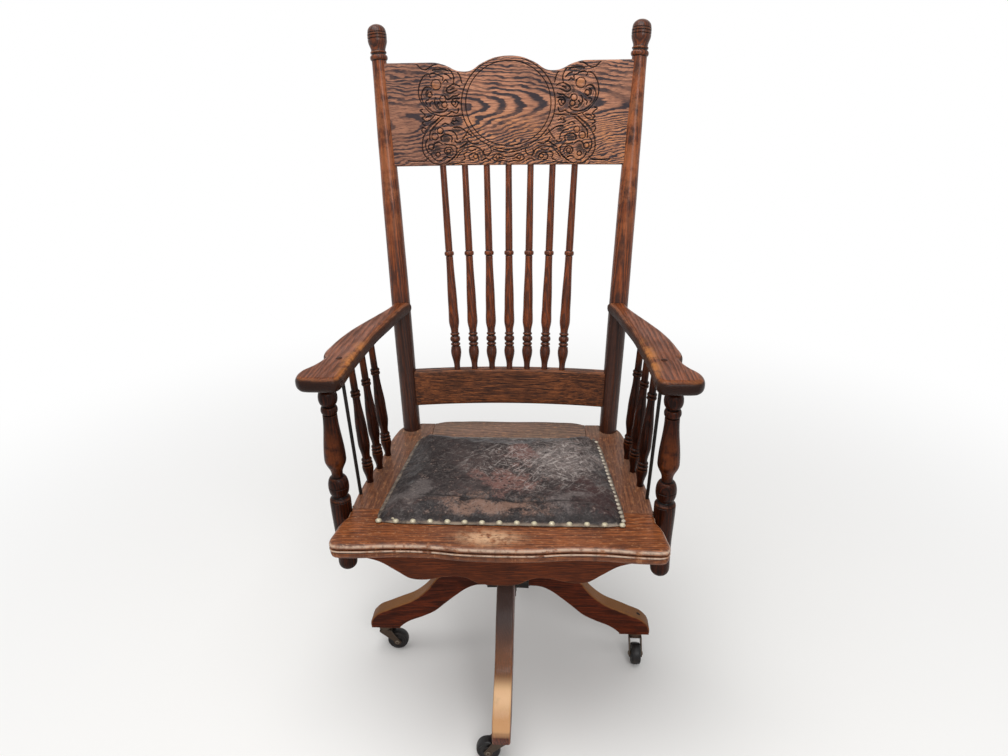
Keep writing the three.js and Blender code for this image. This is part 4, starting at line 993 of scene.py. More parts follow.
# The front's moulding: height above the underside, depth and relief; raised relief paints its rolls pale, as
# wear and a painted highlight.
MOULDING = (
    (0, 4.8, 0), (0.8, 3.6, 0.2), (2.5, 2.4, 0.1), (5, 1.4, 0), (8, 1.0, 0), (10.4, 1.5, 0),
    (11.4, 2.6, -0.6), (12, 2.8, -0.8), (12.5, 1.4, 0), (13.3, 0.4, 0.8), (14.4, 0, 1), (15.6, 0.4, 0.9),
    (16.4, 1.4, 0),
    (17, 3.8, -0.9), (17.6, 4.4, -1), (18.2, 3, -0.9), (19, 1.1, 0), (20.6, 0.3, 0.15), (22.6, 0.4, 0.6),
    (24.6, 1.2, 0.8), (26.2, 2.6, 0.4), (27.3, 4.6, 0.1), (28, 8, 0),
)


def notch_line(start, finish, steps=12):
    """Arc of the arm post's notch between two places along Y, on the right side."""
    out = []
    for index in range(steps + 1):
        y = start + (finish - start) * index / steps
        reach = math.sqrt(max(NOTCH_R ** 2 - (y + ARM_POST_Y) ** 2, 0))
        out.append((ARM_POST_X - reach, y))
    return out


def off_notch(points):
    return [point for point in points if math.dist(point, (ARM_POST_X, -ARM_POST_Y)) > NOTCH_R]


def build_front_rail(oaks):
    edge = curve([(x * FRONT_HALF, -y * SEAT_FRONT) for x, y in FRONT_SHARES], 40)
    ear = curve([edge[-1], *[(x * FRONT_HALF, -y * SEAT_FRONT) for x, y in EAR_SHARES]], 24)[1:]
    right = off_notch([*edge, *ear])
    last = right[-1]
    into = notch_line(last[1] + NOTCH_LEAD, -JOINT - JOINT_GAP)
    right = right + [point for point in into if point[0] < last[0] + HELD_EDGE]
    outline = [*mirrored(right[1:]), *right]
    freedom = [0 if y > -JOINT - HELD_EDGE else 1 for x, y in outline]
    layers = [(UNDER + height, depth, value) for height, depth, value in MOULDING]
    form = board(Form(), outline, layers, freedom)
    piece("seat_front_board", form, "upper", oaks["front"], ["seat_front_rail"], flat=True)


def build_side_rail(oaks, name, side):
    front = -JOINT + JOINT_GAP
    run = SEAT_BACK - front
    outer = off_notch(curve([(x * SIDE_HALF, front + y * run) for y, x in SIDE_SHARES], 60))
    first = outer[0]
    into = notch_line(front, first[1] - NOTCH_LEAD)
    into = [point for point in into if point[0] < first[0] + HELD_EDGE]
    inner = PANEL_HALF + JOINT_GAP
    corner = POST_X - POST_R
    right = [(inner, front), *into, *outer, (corner, SEAT_BACK), (inner, SEAT_BACK)]
    outline = right if side > 0 else mirrored(right)
    freedom = [1 if abs(x) > corner and y > front + HELD_EDGE / 2 else SIDE_HELD_SHARE for x, y in outline]
    form = board(Form(), outline, rounded(UNDER, SEAT_THICK, BOARD_EASE), freedom)
    piece(f"seat_{name}_board", form, "upper", oaks["side"], [f"seat_{name}_rail"], flat=True)


def build_back_rail(oaks):
    front = PANEL_BACK + JOINT_GAP
    bulge = SEAT_BACK + BACK_BULGE
    start = (BULGE_START_SHARE * PANEL_HALF, SEAT_BACK + BULGE_RISE)
    curved = curve([(PANEL_HALF, SEAT_BACK), start, (BULGE_SHARE * PANEL_HALF, bulge), (0, bulge)], 30)
    outline = [(-PANEL_HALF, front), (PANEL_HALF, front), *curved, *mirrored(curved)[1:]]
    freedom = [1 if y > SEAT_BACK + HELD_EDGE else HELD_SHARE for x, y in outline]
    form = board(Form(), outline, rounded(UNDER, SEAT_THICK, BOARD_EASE), freedom)
    piece("seat_back_board", form, "upper", oaks["back"], ["seat_back_rail"], flat=True)


def build_apron(oaks):
    right = curve([(x * APRON_HALF, APRON_TOP - y * APRON_DEPTH) for x, y in APRON_SHARES], 70)
    line = [(-APRON_HALF, APRON_TOP), *[(-x, z) for x, z in right], *right[::-1][1:], (APRON_HALF, APRON_TOP)]
    freedom = [0 if z > APRON_TOP - HELD_EDGE / 2 else 1 for x, z in line]
    back = -SEAT_FRONT + APRON_BACK + APRON_THICK
    form = board(Form(), line, rounded(0, APRON_THICK, APRON_EASE), freedom, upright(back))
    piece("apron_board", form, "upper", oaks["apron"], ["seat_apron"], flat=True)


# Turned pieces: pairs of height and radius, from the foot of the piece
ARM_POST_BEAD = bead(150.5, 187, 10.5, 17.2, 17)
ARM_POST_PROFILE = [
    *dome(14, 0, 16.2), *flow((15, 16.3), (62, 15.7), (137, 17.7)),
    (141.5, 17.6), (142.2, 16.6), (143, 16.6), (143.6, 17.4), *flow((144.5, 17.2), (149.4, 11.2)),
    *ARM_POST_BEAD[:9], (168.2, 17.1), (168.8, 16.3), (169.4, 16.3), (170, 17.1), *ARM_POST_BEAD[9:],
    *flow((187.6, 9.4), (193.5, 9.3), (220.5, 17.75), (301, 11.8)), (302.6, 11.6), (303.2, 9.8), (304, 9.8),
    *bead(304.4, 317.2, 10.6, 13.6, 11), (317.8, 9.5), (319, 9.4),
    *bead(319.6, 345, 9.8, 15.4, 15), (345.6, 9.9), *flow((346.4, 10), (355.4, 11.4)),
]
# The collar and the finial, from the head of the back post's shaft.
FINIAL_PROFILE = [
    (-4.4, 12.9), (-3.8, 12.9), *bead(-3.4, 5.6, 13.6, 16.3), (6, 12.8),
    (8.4, 13.2), (8.8, 14.6), *bead(9.2, 12, 14.2, 14.9, 5), (12.4, 13.4),
    *flow((13, 13.2), (31.5, 17.6)), (32.6, 17.7), (33.2, 16.2), (34, 16.2), (34.6, 17.7),
    *flow((35, 17.8), (38.2, 17.8)), (38.8, 16.3), (39.6, 16.3), (40.2, 17.8),
    *flow((40.6, 17.8), (43, 17.6)), (43.6, 16.1), (44.4, 16.1), (45, 17.2), *dome(46, 59.6, 17),
]
# The shaft of a back post: shares of its length and radii, its foot, and its end from the head.
SHAFT_SHARES = ((0.34, 18.2), (0.62, 17.3), (0.76, 16))
SHAFT_FOOT = (-4, 17.2)
SHAFT_HEAD = (-5, 13.6)
SHAFT_STEP = 4
BACK_SPINDLE_PROFILE = [
    *flow((-2, 5.9), (6, 6.0), (36, 10.4), (45.5, 9.4)), (46.4, 7.4), (47.6, 7.2),
    *bead(48, 53.4, 7.6, 9.7), (54, 7.2), (55.6, 7.2), *bead(56, 66.5, 7.4, 10.2, 11), (67, 7.2), (68.6, 7.2),
    *bead(69, 73.6, 7.6, 9.3), (74.2, 7.2), *flow((75.4, 7.4), (97, 10.3), (128, 9.4), (223, 7.1)),
    (224.4, 7.1), (225.2, 6.6), *bead(226, 235, 7, 9.4), (235.8, 6.6), (236.6, 7.1),
]
# Height and radius where the last stretch of a spindle starts, and the radius where it ends.
BACK_SPINDLE_END = (237.4, 7.1, 6.1)
SIDE_SPINDLE_PROFILE = [
    *flow((-2, 5.9), (5, 5.9), (31, 10)), (34.5, 9.6), (35.2, 7.4), (36.4, 7.3),
    *bead(36.8, 41.4, 7.6, 9.9), (42, 7.2), (43.2, 7.2), *bead(43.6, 48.6, 7.6, 9.4), (49.2, 7),
    *flow((50.4, 7), (80, 10.4), (104, 10), (167, 6.4)), (168, 6.2), (168.6, 5.8),
    *bead(169, 174.6, 6.6, 8.6), (175, 6), *bead(175.4, 180.6, 6.6, 8.5), (181.2, 5.9),
]
SIDE_SPINDLE_END = (182, 6.1, 5.8)
SPINDLE_SUNK = 2
SPINDLE_STEP = 6


def build_arm_post(oaks, name, side):
    form = spin(Form(), ARM_POST_PROFILE, 48)
    matrix = placed(side * ARM_POST_X, -ARM_POST_Y, ARM_POST_LOW)
    piece(f"arm_post_{name}_turned", form, "upper", oaks["dark"], [f"arm_post_{name}"], matrix)


def build_back_post(oaks, name, side):
    foot = post_centre(SEAT)
    head = post_centre(COLLAR)
    length = (head - foot).length
    foot.x *= side
    head.x *= side
    middle = [(share * length, radius) for share, radius in SHAFT_SHARES]
    shaft = flow(SHAFT_FOOT, *middle, (length + SHAFT_HEAD[0], SHAFT_HEAD[1]), step=SHAFT_STEP)
    form = spin(Form(), shaft + [(length + height, radius) for height, radius in FINIAL_PROFILE], 48)
    matrix = standing(foot, head)
    piece(f"back_post_{name}_turned", form, "upper", oaks["post"], [f"back_post_{name}"], matrix)


def build_spindle(oak_kind, label, foot, head, profile, end):
    start, thick, thin = end
    length = (head - foot).length
    last = flow((start, thick), (length + SPINDLE_SUNK, thin), step=SPINDLE_STEP)
    form = spin(Form(), [*profile, *last], 32)
    piece(f"{label}_turned", form, "upper", oak_kind, [label], standing(foot, head))


def spindle_end(x, height, bow):
    """A point on the middle line of a bent rail of the back."""
    centre = post_centre(height)
    return Vector((x, centre.y + bowed(x / centre.x, bow), height))


def build_back_spindle(oaks, number):
    place = 2 * number / (SPINDLES - 1) - 1
    foot = spindle_end(place * SPINDLE_FOOT, RAIL_TOP, RAIL_BOW)
    head = spindle_end(place * SPINDLE_TOP, CREST_LOW, CREST_BOW)
    label = f"back_spindle_{number + 1}"
    build_spindle(oaks["red"], label, foot, head, BACK_SPINDLE_PROFILE, BACK_SPINDLE_END)


def side_edge(y):
    """Half width of the seat at a place along its side boards."""
    front = -JOINT + GAP
    share = (y - front) / (SEAT_BACK - front)
    return SIDE_HALF * float(np.interp(share, *zip(*SIDE_SHARES)))


def build_side_spindle(oaks, name, side, number):
    y = number * SIDE_STEP - SIDE_FRONT
    x = side_edge(y) - SIDE_INSET
    foot = Vector((side * x, y, SEAT))
    head = Vector((side * (x + SIDE_LEAN), y, ARM_UNDER))
    label = f"arm_spindle_{name}_{number + 1}"
    build_spindle(oaks["dark"], label, foot, head, SIDE_SPINDLE_PROFILE, SIDE_SPINDLE_END)


# Arms: shares of the length from the front and of the reach from the middle
HAND_SHARES = (
    (0.2, 0.935), (0.16, 0.955), (0.105, 0.992), (0.06, 1), (0.026, 0.99), (0.007, 0.967), (0, 0.93),
)
INNER_SHARES = (
    (0, 0.81), (0.006, 0.787), (0.028, 0.768), (0.07, 0.761), (0.19, 0.758), (0.42, 0.737), (0.56, 0.72),
    (0.73, 0.685), (0.93, 0.641), (1, 0.617),
)
REAR_SHARES = (
    (1, 0.727), (0.93, 0.742), (0.81, 0.79), (0.71, 0.835), (0.575, 0.89), (0.4, 0.932), (0.29, 0.939),
    (0.25, 0.92),
)
ARM_SPACING = 6
ARM_LAYERS = 8
# Relief of the arms' upper rounding, which paints a pale arris: wear, and also a painted highlight.
ARM_EDGE_WEAR_AND_SHEEN = 0.8


def arm_line(pairs, count):
    return curve([(across * ARM_OUTER, -ARM_FRONT + along * ARM_LENGTH) for along, across in pairs], count)


def build_arm(oaks, name, side):
    rear = arm_line(REAR_SHARES, 60)
    hand = arm_line([REAR_SHARES[-1], *HAND_SHARES], 60)[1:]
    inner = arm_line(INNER_SHARES, 70)
    clockwise = [*rear, *hand, *dense([hand[-1], inner[0]], ARM_SPACING)[1:-1], *inner]
    outline = clockwise[::-1] if side > 0 else mirrored(clockwise[::-1])
    rise, depth = ARM_LOWER_ROUND
    ease = ARM_UPPER_ROUND
    turns = quarter(ARM_LAYERS)
    layers = [(ARM_UNDER + rise * (1 - math.cos(turn)), depth * (1 - math.sin(turn)), 0.0) for turn in turns]
    for turn in turns:
        worn = ARM_EDGE_WEAR_AND_SHEEN * math.sin(2 * turn)
        layers.append((ARM_TOP - ease * (1 - math.sin(turn)), ease * (1 - math.cos(turn)), worn))
    form = board(Form(), outline, layers)
    piece(f"arm_{name}_board", form, "upper", oaks["arm"], [f"arm_{name}"], flat=True)


ROD_NUT_LOW = -5.6
ROD_NUT_EASE = 0.8
ROD_SHORT = 0.6
ROD_END = dome(-6.2, -8.6, 2.8)
PLUG_PROFILE = [(-1, PLUG_R), *dome(0.2, 1.2, PLUG_R, 3)]


def build_rod(oaks, metals, name, side):
    """A thin iron rod from the arm to its nut under the seat, with a wooden plug over its head."""
    x = side_edge(-ROD_Y) - ROD_INSET
    foot = Vector((side * x, -ROD_Y, UNDER))
    head = Vector((side * (x + ROD_LEAN), -ROD_Y, ARM_TOP))
    length = (head - foot).length
    at = standing(foot, head)
    form = spin(Form(), [*ROD_END, (ROD_NUT_LOW, ROD_R), (length - ROD_SHORT, ROD_R)], 16)
    hexagon = [polar(ROD_NUT_R, math.pi / 3 * corner) for corner in range(6)]
    board(form, hexagon, rounded(ROD_NUT_LOW, ROD_NUT_HIGH, ROD_NUT_EASE, 2))
    piece(f"tension_rod_{name}", form, "upper", metals["black"], [f"arm_rod_{name}"], at)
    plug = spin(Form(), [(length + height, radius) for height, radius in PLUG_PROFILE], 24)
    piece(f"rod_plug_{name}", plug, "upper", oaks["arm"], matrix=at)


# Crest with its pressed carving, which is drawn for the right half from the medallion's middle
CREST_DOME_SHARES = ((0, 1), (0.06, 0.92), (0.12, 0.65), (0.175, 0.1))
CREST_DIP_SHARES = (
    (0.22, -0.2), (0.28, -0.85), (0.345, -1), (0.42, -0.85), (0.48, -0.35), (0.57, 0), (0.8, 0), (1, 0),
)
CREST_SOFT_SHARE = 0.03
EDGE_WORN = 0.5
LOWER_WORN = 0.3
CARVED_WORN = 1.2
# Ovals about the medallion: radius, share of it upwards, half width of the line and depth.
RINGS = ((87.5, 0.915, 0.95, 1.5), (79.5, 0.925, 0.85, 1.4))
# Half width and depth of the carving's lines and of its circles.
LINE = (1.0, 1.6)
CIRCLE = (0.8, 1.4)
LIP_SHARE = 0.3
LIP_AWAY = 2.4
STROKE_MARGIN = 2
GROUND_DEPTH = 0.72
GROUND_EDGE = 12
DOT_DEPTH = 0.4
DOT_CLOSE = 2.1
DOT_WANDER = 0.9
BALL_SHARE = 0.22
CARVED_LOWEST = -2.2
CARVED_HIGHEST = 1.4
UPPER_CARVING = [
    [(102, 34), (101, 46), (107, 58), (117, 66), (127, 68), (140, 67), (148, 62), (153, 60), (162, 62),
     (167, 67), (172, 71)],
    [(86, 36), (90, 49), (97, 58), (105, 65), (114, 70), (121, 72)],
    [(122, 41), (121, 46), (127, 49), (134, 52), (142, 53), (146, 50), (144, 46)],
    [(147, 52), (155, 50), (162, 41), (166, 30), (167, 19), (164, 7), (156, -4), (147, -13), (135, -18),
     (125, -20), (114, -18), (106, -13)],
    [(143, 27), (148, 30), (155, 29), (160, 22), (162, 14), (159, 4), (151, -5), (140, -13), (127, -14),
     (118, -12), (113, -7)],
    [(135, 12), (138, 4), (136, -1), (131, -7), (122, -9)],
    [(90, 30), (95, 33), (102, 34), (109, 31), (114, 27), (115, 22), (109, 19), (101, 22), (95, 24)],
    [(91, 17), (98, 14), (102, 14), (109, 9), (114, 8), (118, 14)],
    [(91, 9), (102, 9), (106, 3), (98, -5), (93, 2)],
    [(92, 3), (97, 6), (100, 3)],
    [(93, -8), (95, -15), (106, -13)],
    [(112, 58), (120, 60), (130, 60), (140, 59)],
    [(106, 44), (112, 50), (118, 52)],
    [(150, 24), (153, 20), (152, 14), (148, 12), (143, 17), (144, 22)],
    [(130, 3), (133, -1), (130, -5)],
    [(141, 6), (146, 2), (145, -3)],
    [(149, 8), (154, 6), (152, 0)],
    [(100, 28), (104, 27), (107, 25)],
    [(112, 38), (116, 42), (121, 38)],
]
LOWER_CARVING = [
    [(86, -19), (102, -21), (115, -21), (126, -21), (135, -29), (144, -36), (152, -45), (159, -55),
     (162, -68), (162, -79), (158, -89), (151, -96), (143, -103), (132, -105), (122, -105), (114, -101),
     (106, -95), (99, -87), (97, -77)],
    [(122, -24), (131, -31), (140, -40), (147, -48), (148, -56), (148, -61)],
    [(130, -24), (140, -31), (148, -37), (156, -47)],
    [(97, -77), (103, -72), (113, -71), (121, -69)],
    [(107, -66), (106, -58), (113, -53), (121, -53), (127, -58), (126, -63)],
    [(160, -8), (165, -10), (160, -14), (156, -19), (161, -24), (157, -28), (162, -33), (156, -37)],
    [(155, -42), (161, -40), (162, -47), (159, -50)],
    [(143, -20), (151, -21), (155, -23)],
    [(138, -19), (147, -27), (156, -30)],
    [(151, -93), (156, -98), (170, -99), (179, -99), (190, -98)],
    [(75, -45), (81, -55), (87, -62)],
    [(69, -66), (77, -67), (82, -71), (91, -76)],
    [(82, -76), (93, -82), (102, -93), (113, -100)],
    [(69, -56), (81, -47), (90, -41), (102, -40)],
    [(93, -30), (101, -28), (107, -32), (102, -35)],
    [(104, -82), (109, -76), (117, -76), (121, -82), (117, -88), (110, -87)],
    [(124, -70), (132, -66), (139, -69), (142, -76)],
    [(126, -98), (134, -99), (142, -94), (147, -86)],
    [(110, -95), (117, -92), (124, -95)],
    [(152, -60), (156, -68), (155, -78), (150, -86)],
    [(112, -46), (104, -48), (98, -54), (96, -62)],
    [(90, -66), (96, -68), (101, -64)],
    [(112, -36), (119, -33), (124, -36)],
]
FOOT_CARVING = [
    [(44, -92), (50, -82), (62, -75), (78, -76), (90, -84), (98, -94)],
    [(38, -74), (32, -82), (38, -90), (48, -88), (46, -80)],
    [(56, -98), (58, -90), (66, -86), (74, -90), (73, -97), (66, -99)],
    [(2, -86), (12, -84), (24, -81), (34, -76)],
    [(0, -94), (10, -92), (18, -88), (26, -90), (30, -96), (22, -101), (10, -100), (0, -103)],
    [(34, -100), (42, -96), (50, -100)],
    [(78, -84), (84, -88), (82, -96), (90, -100)],
    [(62, -80), (70, -82), (76, -80)],
    [(8, -97), (16, -95), (22, -97)],
    [(84, -102), (98, -104), (112, -105)],
    [(56, -69), (66, -70), (74, -66), (78, -60)],
]
CARVED_CIRCLES = [
    (134, 34, 9), (122, 9, 5.6), (119, -1, 5), (146, 17, 4.5), (138, -56, 6), (128, -46, 5.5), (146, -74, 5),
    (113, -82, 4), (133, -88, 4), (62, -92, 4), (20, -94, 3.4), (102, 2, 3.4), (101, -27, 3.2),
]
# Stippled grounds: middle and half sizes.
CARVED_GROUND = [
    (125, 58, 20, 7), (112, 20, 12, 14), (131, -2, 12, 9), (154, 22, 6, 12), (139, -80, 13, 11),
    (118, -60, 10, 8), (142, -44, 7, 8), (110, -88, 8, 7), (52, -90, 10, 7), (98, -44, 9, 7),
    (100, 10, 6, 10), (84, -70, 9, 7),
]


def crest_top(shares):
    pairs = [(key, value * CREST_DOME) for key, value in CREST_DOME_SHARES]
    pairs += [(key, value * CREST_DIP) for key, value in CREST_DIP_SHARES]
    near = np.abs(shares)[:, None] + np.linspace(-CREST_SOFT_SHARE, CREST_SOFT_SHARE, 7)[None, :]
    return CREST_TOP + np.interp(np.abs(near), *zip(*pairs)).mean(axis=1)


def oval(x, z, radius, squeeze=1.0, count=24):
    turns = np.linspace(0, 2 * math.pi, count + 1)
    return [(x + radius * math.cos(turn), z + radius * squeeze * math.sin(turn)) for turn in turns]


def carved_lines():
    """Incised lines: points, half width and depth."""
    lines = [(oval(0, 0, radius, squeeze, 96), half, depth) for radius, squeeze, half, depth in RINGS]
    drawn = UPPER_CARVING + LOWER_CARVING + FOOT_CARVING
    lines += [(curve(points, 6 * len(points)), *LINE) for points in drawn]
    lines += [(oval(*circle), *CIRCLE) for circle in CARVED_CIRCLES]
    return lines


def stroke(relief, xs, zs, line, half, depth):
    """Lowers the grid along a line with a soft V cut, and raises its lips a little."""
    points = np.array(line)
    reach = 4 * half + STROKE_MARGIN
    low = points.min(axis=0) - reach
    high = points.max(axis=0) + reach
    inside = (xs > low[0]) & (xs < high[0]) & (zs > low[1]) & (zs < high[1])
    near_x = xs[inside]
    near_z = zs[inside]
    nearest = np.full(near_x.shape, np.inf)
    for first, second in zip(points, points[1:]):
        along = second - first
        away_x = near_x - first[0]
        away_z = near_z - first[1]
        share = (away_x * along[0] + away_z * along[1]) / max(along @ along, SMALL)
        share = np.clip(share, 0, 1)
        gap = (away_x - share * along[0]) ** 2 + (away_z - share * along[1]) ** 2
        nearest = np.minimum(nearest, gap)
    gap = np.sqrt(nearest)
    cut = np.exp(-(gap / half) ** 2)
    lip = np.exp(-((gap - LIP_AWAY * half) / half) ** 2)
    relief[inside] += depth * (LIP_SHARE * lip - cut)


def carving(xs, zs):
    """Depth of the pressed carving over a grid of X and Z from the medallion's middle."""
    relief = np.zeros(xs.shape)
    fold = np.abs(xs)
    for line, half, depth in carved_lines():
        stroke(relief, fold, zs, line, half, depth)
    ground = np.zeros(xs.shape)
    for x, z, wide, high in CARVED_GROUND:
        away = np.hypot((fold - x) / wide, (zs - z) / high)
        ground = np.maximum(ground, 1 / (1 + np.exp((away - 1) * GROUND_EDGE)))
    across = np.cos(fold * DOT_CLOSE + DOT_WANDER * np.cos(zs * 0.7))
    upwards = np.cos(zs * DOT_CLOSE + DOT_WANDER * np.cos(fold * 0.6))
    relief -= ground * (GROUND_DEPTH + DOT_DEPTH * across * upwards)
    for x, z, radius in CARVED_CIRCLES:
        away = np.hypot(fold - x, zs - z) / (radius - CIRCLE[0])
        ball = np.maximum(relief, 0) + BALL_SHARE * radius * np.clip(1 - away ** 2, 0, 1)
        relief = np.where(away < 1, ball, relief)
    return np.clip(relief, CARVED_LOWEST, CARVED_HIGHEST)


def bowed_board(form, shares, low, tops, thick, bow, ease, rows, depth_of=None):
    """A bent board between the posts, from one end to the other."""
    half = thick / 2
    turns = quarter(4)
    eased = [(ease * (1 - math.sin(turn)), ease * (1 - math.cos(turn)), math.sin(2 * turn)) for turn in turns]
    heights = np.array([low + ease + (tops - low - 2 * ease) * row / rows for row in range(rows + 1)]).T
    across = shares[:, None] * (POST_X + SPLAY * (heights - SEAT))
    relief = depth_of(across, heights) if depth_of else np.zeros(heights.shape)
    rings = []
    values = []
    for share, top, column, carved in zip(shares, tops, heights, relief):
        section = [(z, -half - value, value / CARVED_WORN) for z, value in zip(column, carved)]
        section += [(top - rise, inward - half, EDGE_WORN * worn) for rise, inward, worn in eased[1:]]
        section += [(top - rise, half - inward, EDGE_WORN * worn) for rise, inward, worn in eased[::-1]]
        section += [(low + rise, half - inward, LOWER_WORN) for rise, inward, worn in eased]
        section += [(low + rise, inward - half, LOWER_WORN) for rise, inward, worn in eased[:0:-1]]
        ring = []
        for z, out, value in section:
            centre = post_centre(z)
            ring.append((share * centre.x, centre.y + bowed(share, bow) + out, z))
            values.append(value)
        rings.append(ring)
    return loft(form, rings, values)


def build_crest(oaks):
    shares = np.linspace(-1, 1, 460)
    rows = 175
    form = bowed_board(Form(), shares, CREST_LOW, crest_top(shares), CREST_THICK, CREST_BOW, CREST_EASE, rows,
                       lambda x, z: carving(x, z - MEDAL_Z))
    piece("crest_board", form, "upper", oaks["crest"], ["crest_rail"])


def build_lower_rail(oaks):
    shares = np.linspace(-1, 1, 49)
    tops = np.full(len(shares), RAIL_TOP)
    form = bowed_board(Form(), shares, RAIL_LOW, tops, RAIL_THICK, RAIL_BOW, RAIL_EASE, 6)
    piece("lower_back_board", form, "upper", oaks["rail"], ["lower_back_rail"])


# Hide pad and its tacks
PAD_COLUMNS = 84
PAD_ROWS = 62
# The nailed flange, the crown inside it and the ragged edge: shares of the half width and half length.
FLANGE_SHARE = 0.055
HELD_FLANGE_SHARE = 0.2
CROWN_SIDE_SHARE = 0.17
CROWN_BACK_SHARE = 0.14
CROWN_FRONT_SHARE = 0.2
CROWN_POWER = 2.8
CROWN_SPARE = 1
RAGGED = 1.1
CORNER_DRAWN_SHARE = 0.045
# Folds: place along Y, slope, half width, middle and reach across, depth and darkness.
PAD_FOLDS = ((-164, 0.05, 3.0, 0, 170, 1.6, 0.6), (-92, -0.12, 2.6, -30, 120, 1.1, 0.4))
FOLD_FADE = 60
STUFFING_FRAMES = 20
FOLD_WANDER = 7
TORN_WIDE = 4
TORN_SHARE = 0.9
LUMP = 0.7
FINE_LUMP = 0.25
# Tacks: radius and height.
BRIGHT_TACK = (5.3, 3.1)
SPARE_TACK = (4.4, 2.4)
DUSTY_TACK = (3.8, 2.0)
DULL_TACK = (2.8, 1.4)
SPARE_RISE = 0.5
SPARE_TACKS = ((-176, -203), (-148, -203), (-119, -202))
TACK_WANDER = 1.6
FRONT_TACK_IN = 6
TACK_IN = 5.5
TACK_END = 5
DUSTY_TACKS = 24
DUSTY_IN = 1
DULL_TACKS = 15
DULL_SINK = 0.4
BACK_TACKS = 13
BACK_TACK_STEP = 28


def uneven(x, y, z):
    """Smooth noise that is the same in each run."""
    return noise.noise(Vector((x, y, z)))


def pad_half(share):
    """Half width of the pad at a share of its length from the front."""
    return PAD_FRONT_HALF + (PAD_BACK_HALF - PAD_FRONT_HALF) * share


def pad_height(u, v):
    """Rise of the stuffing over the flange, from 0 to 1, for shares across and along."""
    edge = min((1 - abs(u)) / CROWN_SIDE_SHARE, (1 - v) / CROWN_BACK_SHARE, (1 + v) / CROWN_FRONT_SHARE, 1)
    lift = 1 - (1 - max(edge, 0)) ** CROWN_POWER
    lumps = 0.09 * uneven(u * 3.1, v * 2.7, 4.2) + 0.05 * uneven(u * 7.5, v * 6.5, 1.7)
    return max(0.0, lift * (0.9 + lumps))


def pad_point(u, v):
    """A corner of the pad's upper face, and whether the nailed flange holds it."""
    centre = (PAD_BACK - PAD_FRONT) / 2
    y = -PAD_FRONT + (v + 1) / 2 * PAD_DEEP
    flat = 1 - FLANGE_SHARE
    on_flange = max(abs(u) - flat, abs(v) - flat, 0) / FLANGE_SHARE
    rise = 0 if on_flange > 0 else pad_height(u / flat, v / flat)
    wave = RAGGED * uneven(u * 22, v * 18, 8.1) if on_flange >= 1 else 0
    drawn_in = 1 - CORNER_DRAWN_SHARE * (u * v) ** 8
    along = centre + (y + (wave if abs(v) >= 1 else 0) - centre) * drawn_in
    across = u * (pad_half((v + 1) / 2) + wave) * drawn_in
    height = PAD_BASE + HIDE_THICK + rise * (PAD_CROWN + CROWN_SPARE)
    return (across, along, height), on_flange > HELD_FLANGE_SHARE


def build_pad(hide_material):
    columns = PAD_COLUMNS
    rows = PAD_ROWS
    grid = [pad_point(2 * column / columns - 1, 2 * row / rows - 1)
            for row in range(rows + 1) for column in range(columns + 1)]
    points = [point for point, held in grid] + [(point[0], point[1], PAD_BASE) for point, held in grid]
    pinned = [held for point, held in grid] + [True] * len(grid)
    count = columns + 1
    top = len(grid)
    cells = [row * count + column for row in range(rows) for column in range(columns)]
    faces = [(cell, cell + 1, cell + 1 + count, cell + count) for cell in cells]
    faces += [tuple(top + corner for corner in face[::-1]) for face in faces]
    ring = [*range(count), *[row * count + columns for row in range(1, rows + 1)]]
    ring += [rows * count + column for column in range(columns - 1, -1, -1)]
    ring += [row * count for row in range(rows - 1, 0, -1)]
    faces += [(second, first, top + first, top + second) for first, second in zip(ring, ring[1:] + ring[:1])]
    form = Form().add(points, faces)
    made = piece("hide_pad", form, "upper", hide_material, ["seat_leather"], sharp=HIDE_SHARP_ANGLE)
    stuff(made, pinned)
    crease(made)


def stuff(made, pinned):
    """Swells the pad with a short cloth simulation, held at its nailed border, and keeps the result."""
    group = made.vertex_groups.new(name="held")
    group.add([index for index, held in enumerate(pinned) if held], 1.0, "REPLACE")
    before = np.array([vertex.co[:] for vertex in made.data.vertices])
    cloth = made.modifiers.new("stuffing", "CLOTH")
    cloth.settings.vertex_group_mass = "held"
    cloth.settings.use_pressure = True
    cloth.settings.uniform_pressure_force = 3.5
    cloth.settings.effector_weights.gravity = 0
    cloth.settings.quality = 6
    cloth.settings.tension_stiffness = 12
    cloth.settings.bending_stiffness = 3
    cloth.settings.shrink_min = -0.012
    scene = bpy.context.scene
    for index in range(STUFFING_FRAMES):
        scene.frame_set(index + 1)
    graph = bpy.context.evaluated_depsgraph_get()
    solved = made.evaluated_get(graph).to_mesh()
    after = np.array([vertex.co[:] for vertex in solved.vertices])
    made.evaluated_get(graph).to_mesh_clear()
    made.modifiers.remove(cloth)
    made.vertex_groups.clear()
    scene.frame_set(1)
    moved = np.clip(after - before, -STUFFED_LIMIT * MM, STUFFED_LIMIT * MM)
    for vertex, place in zip(made.data.vertices, before + moved):
        vertex.co = place


def ridge(away, wide):
    """1 at a line, fading to 0 beyond its half width."""
    return math.exp(-(away / wide) ** 2)


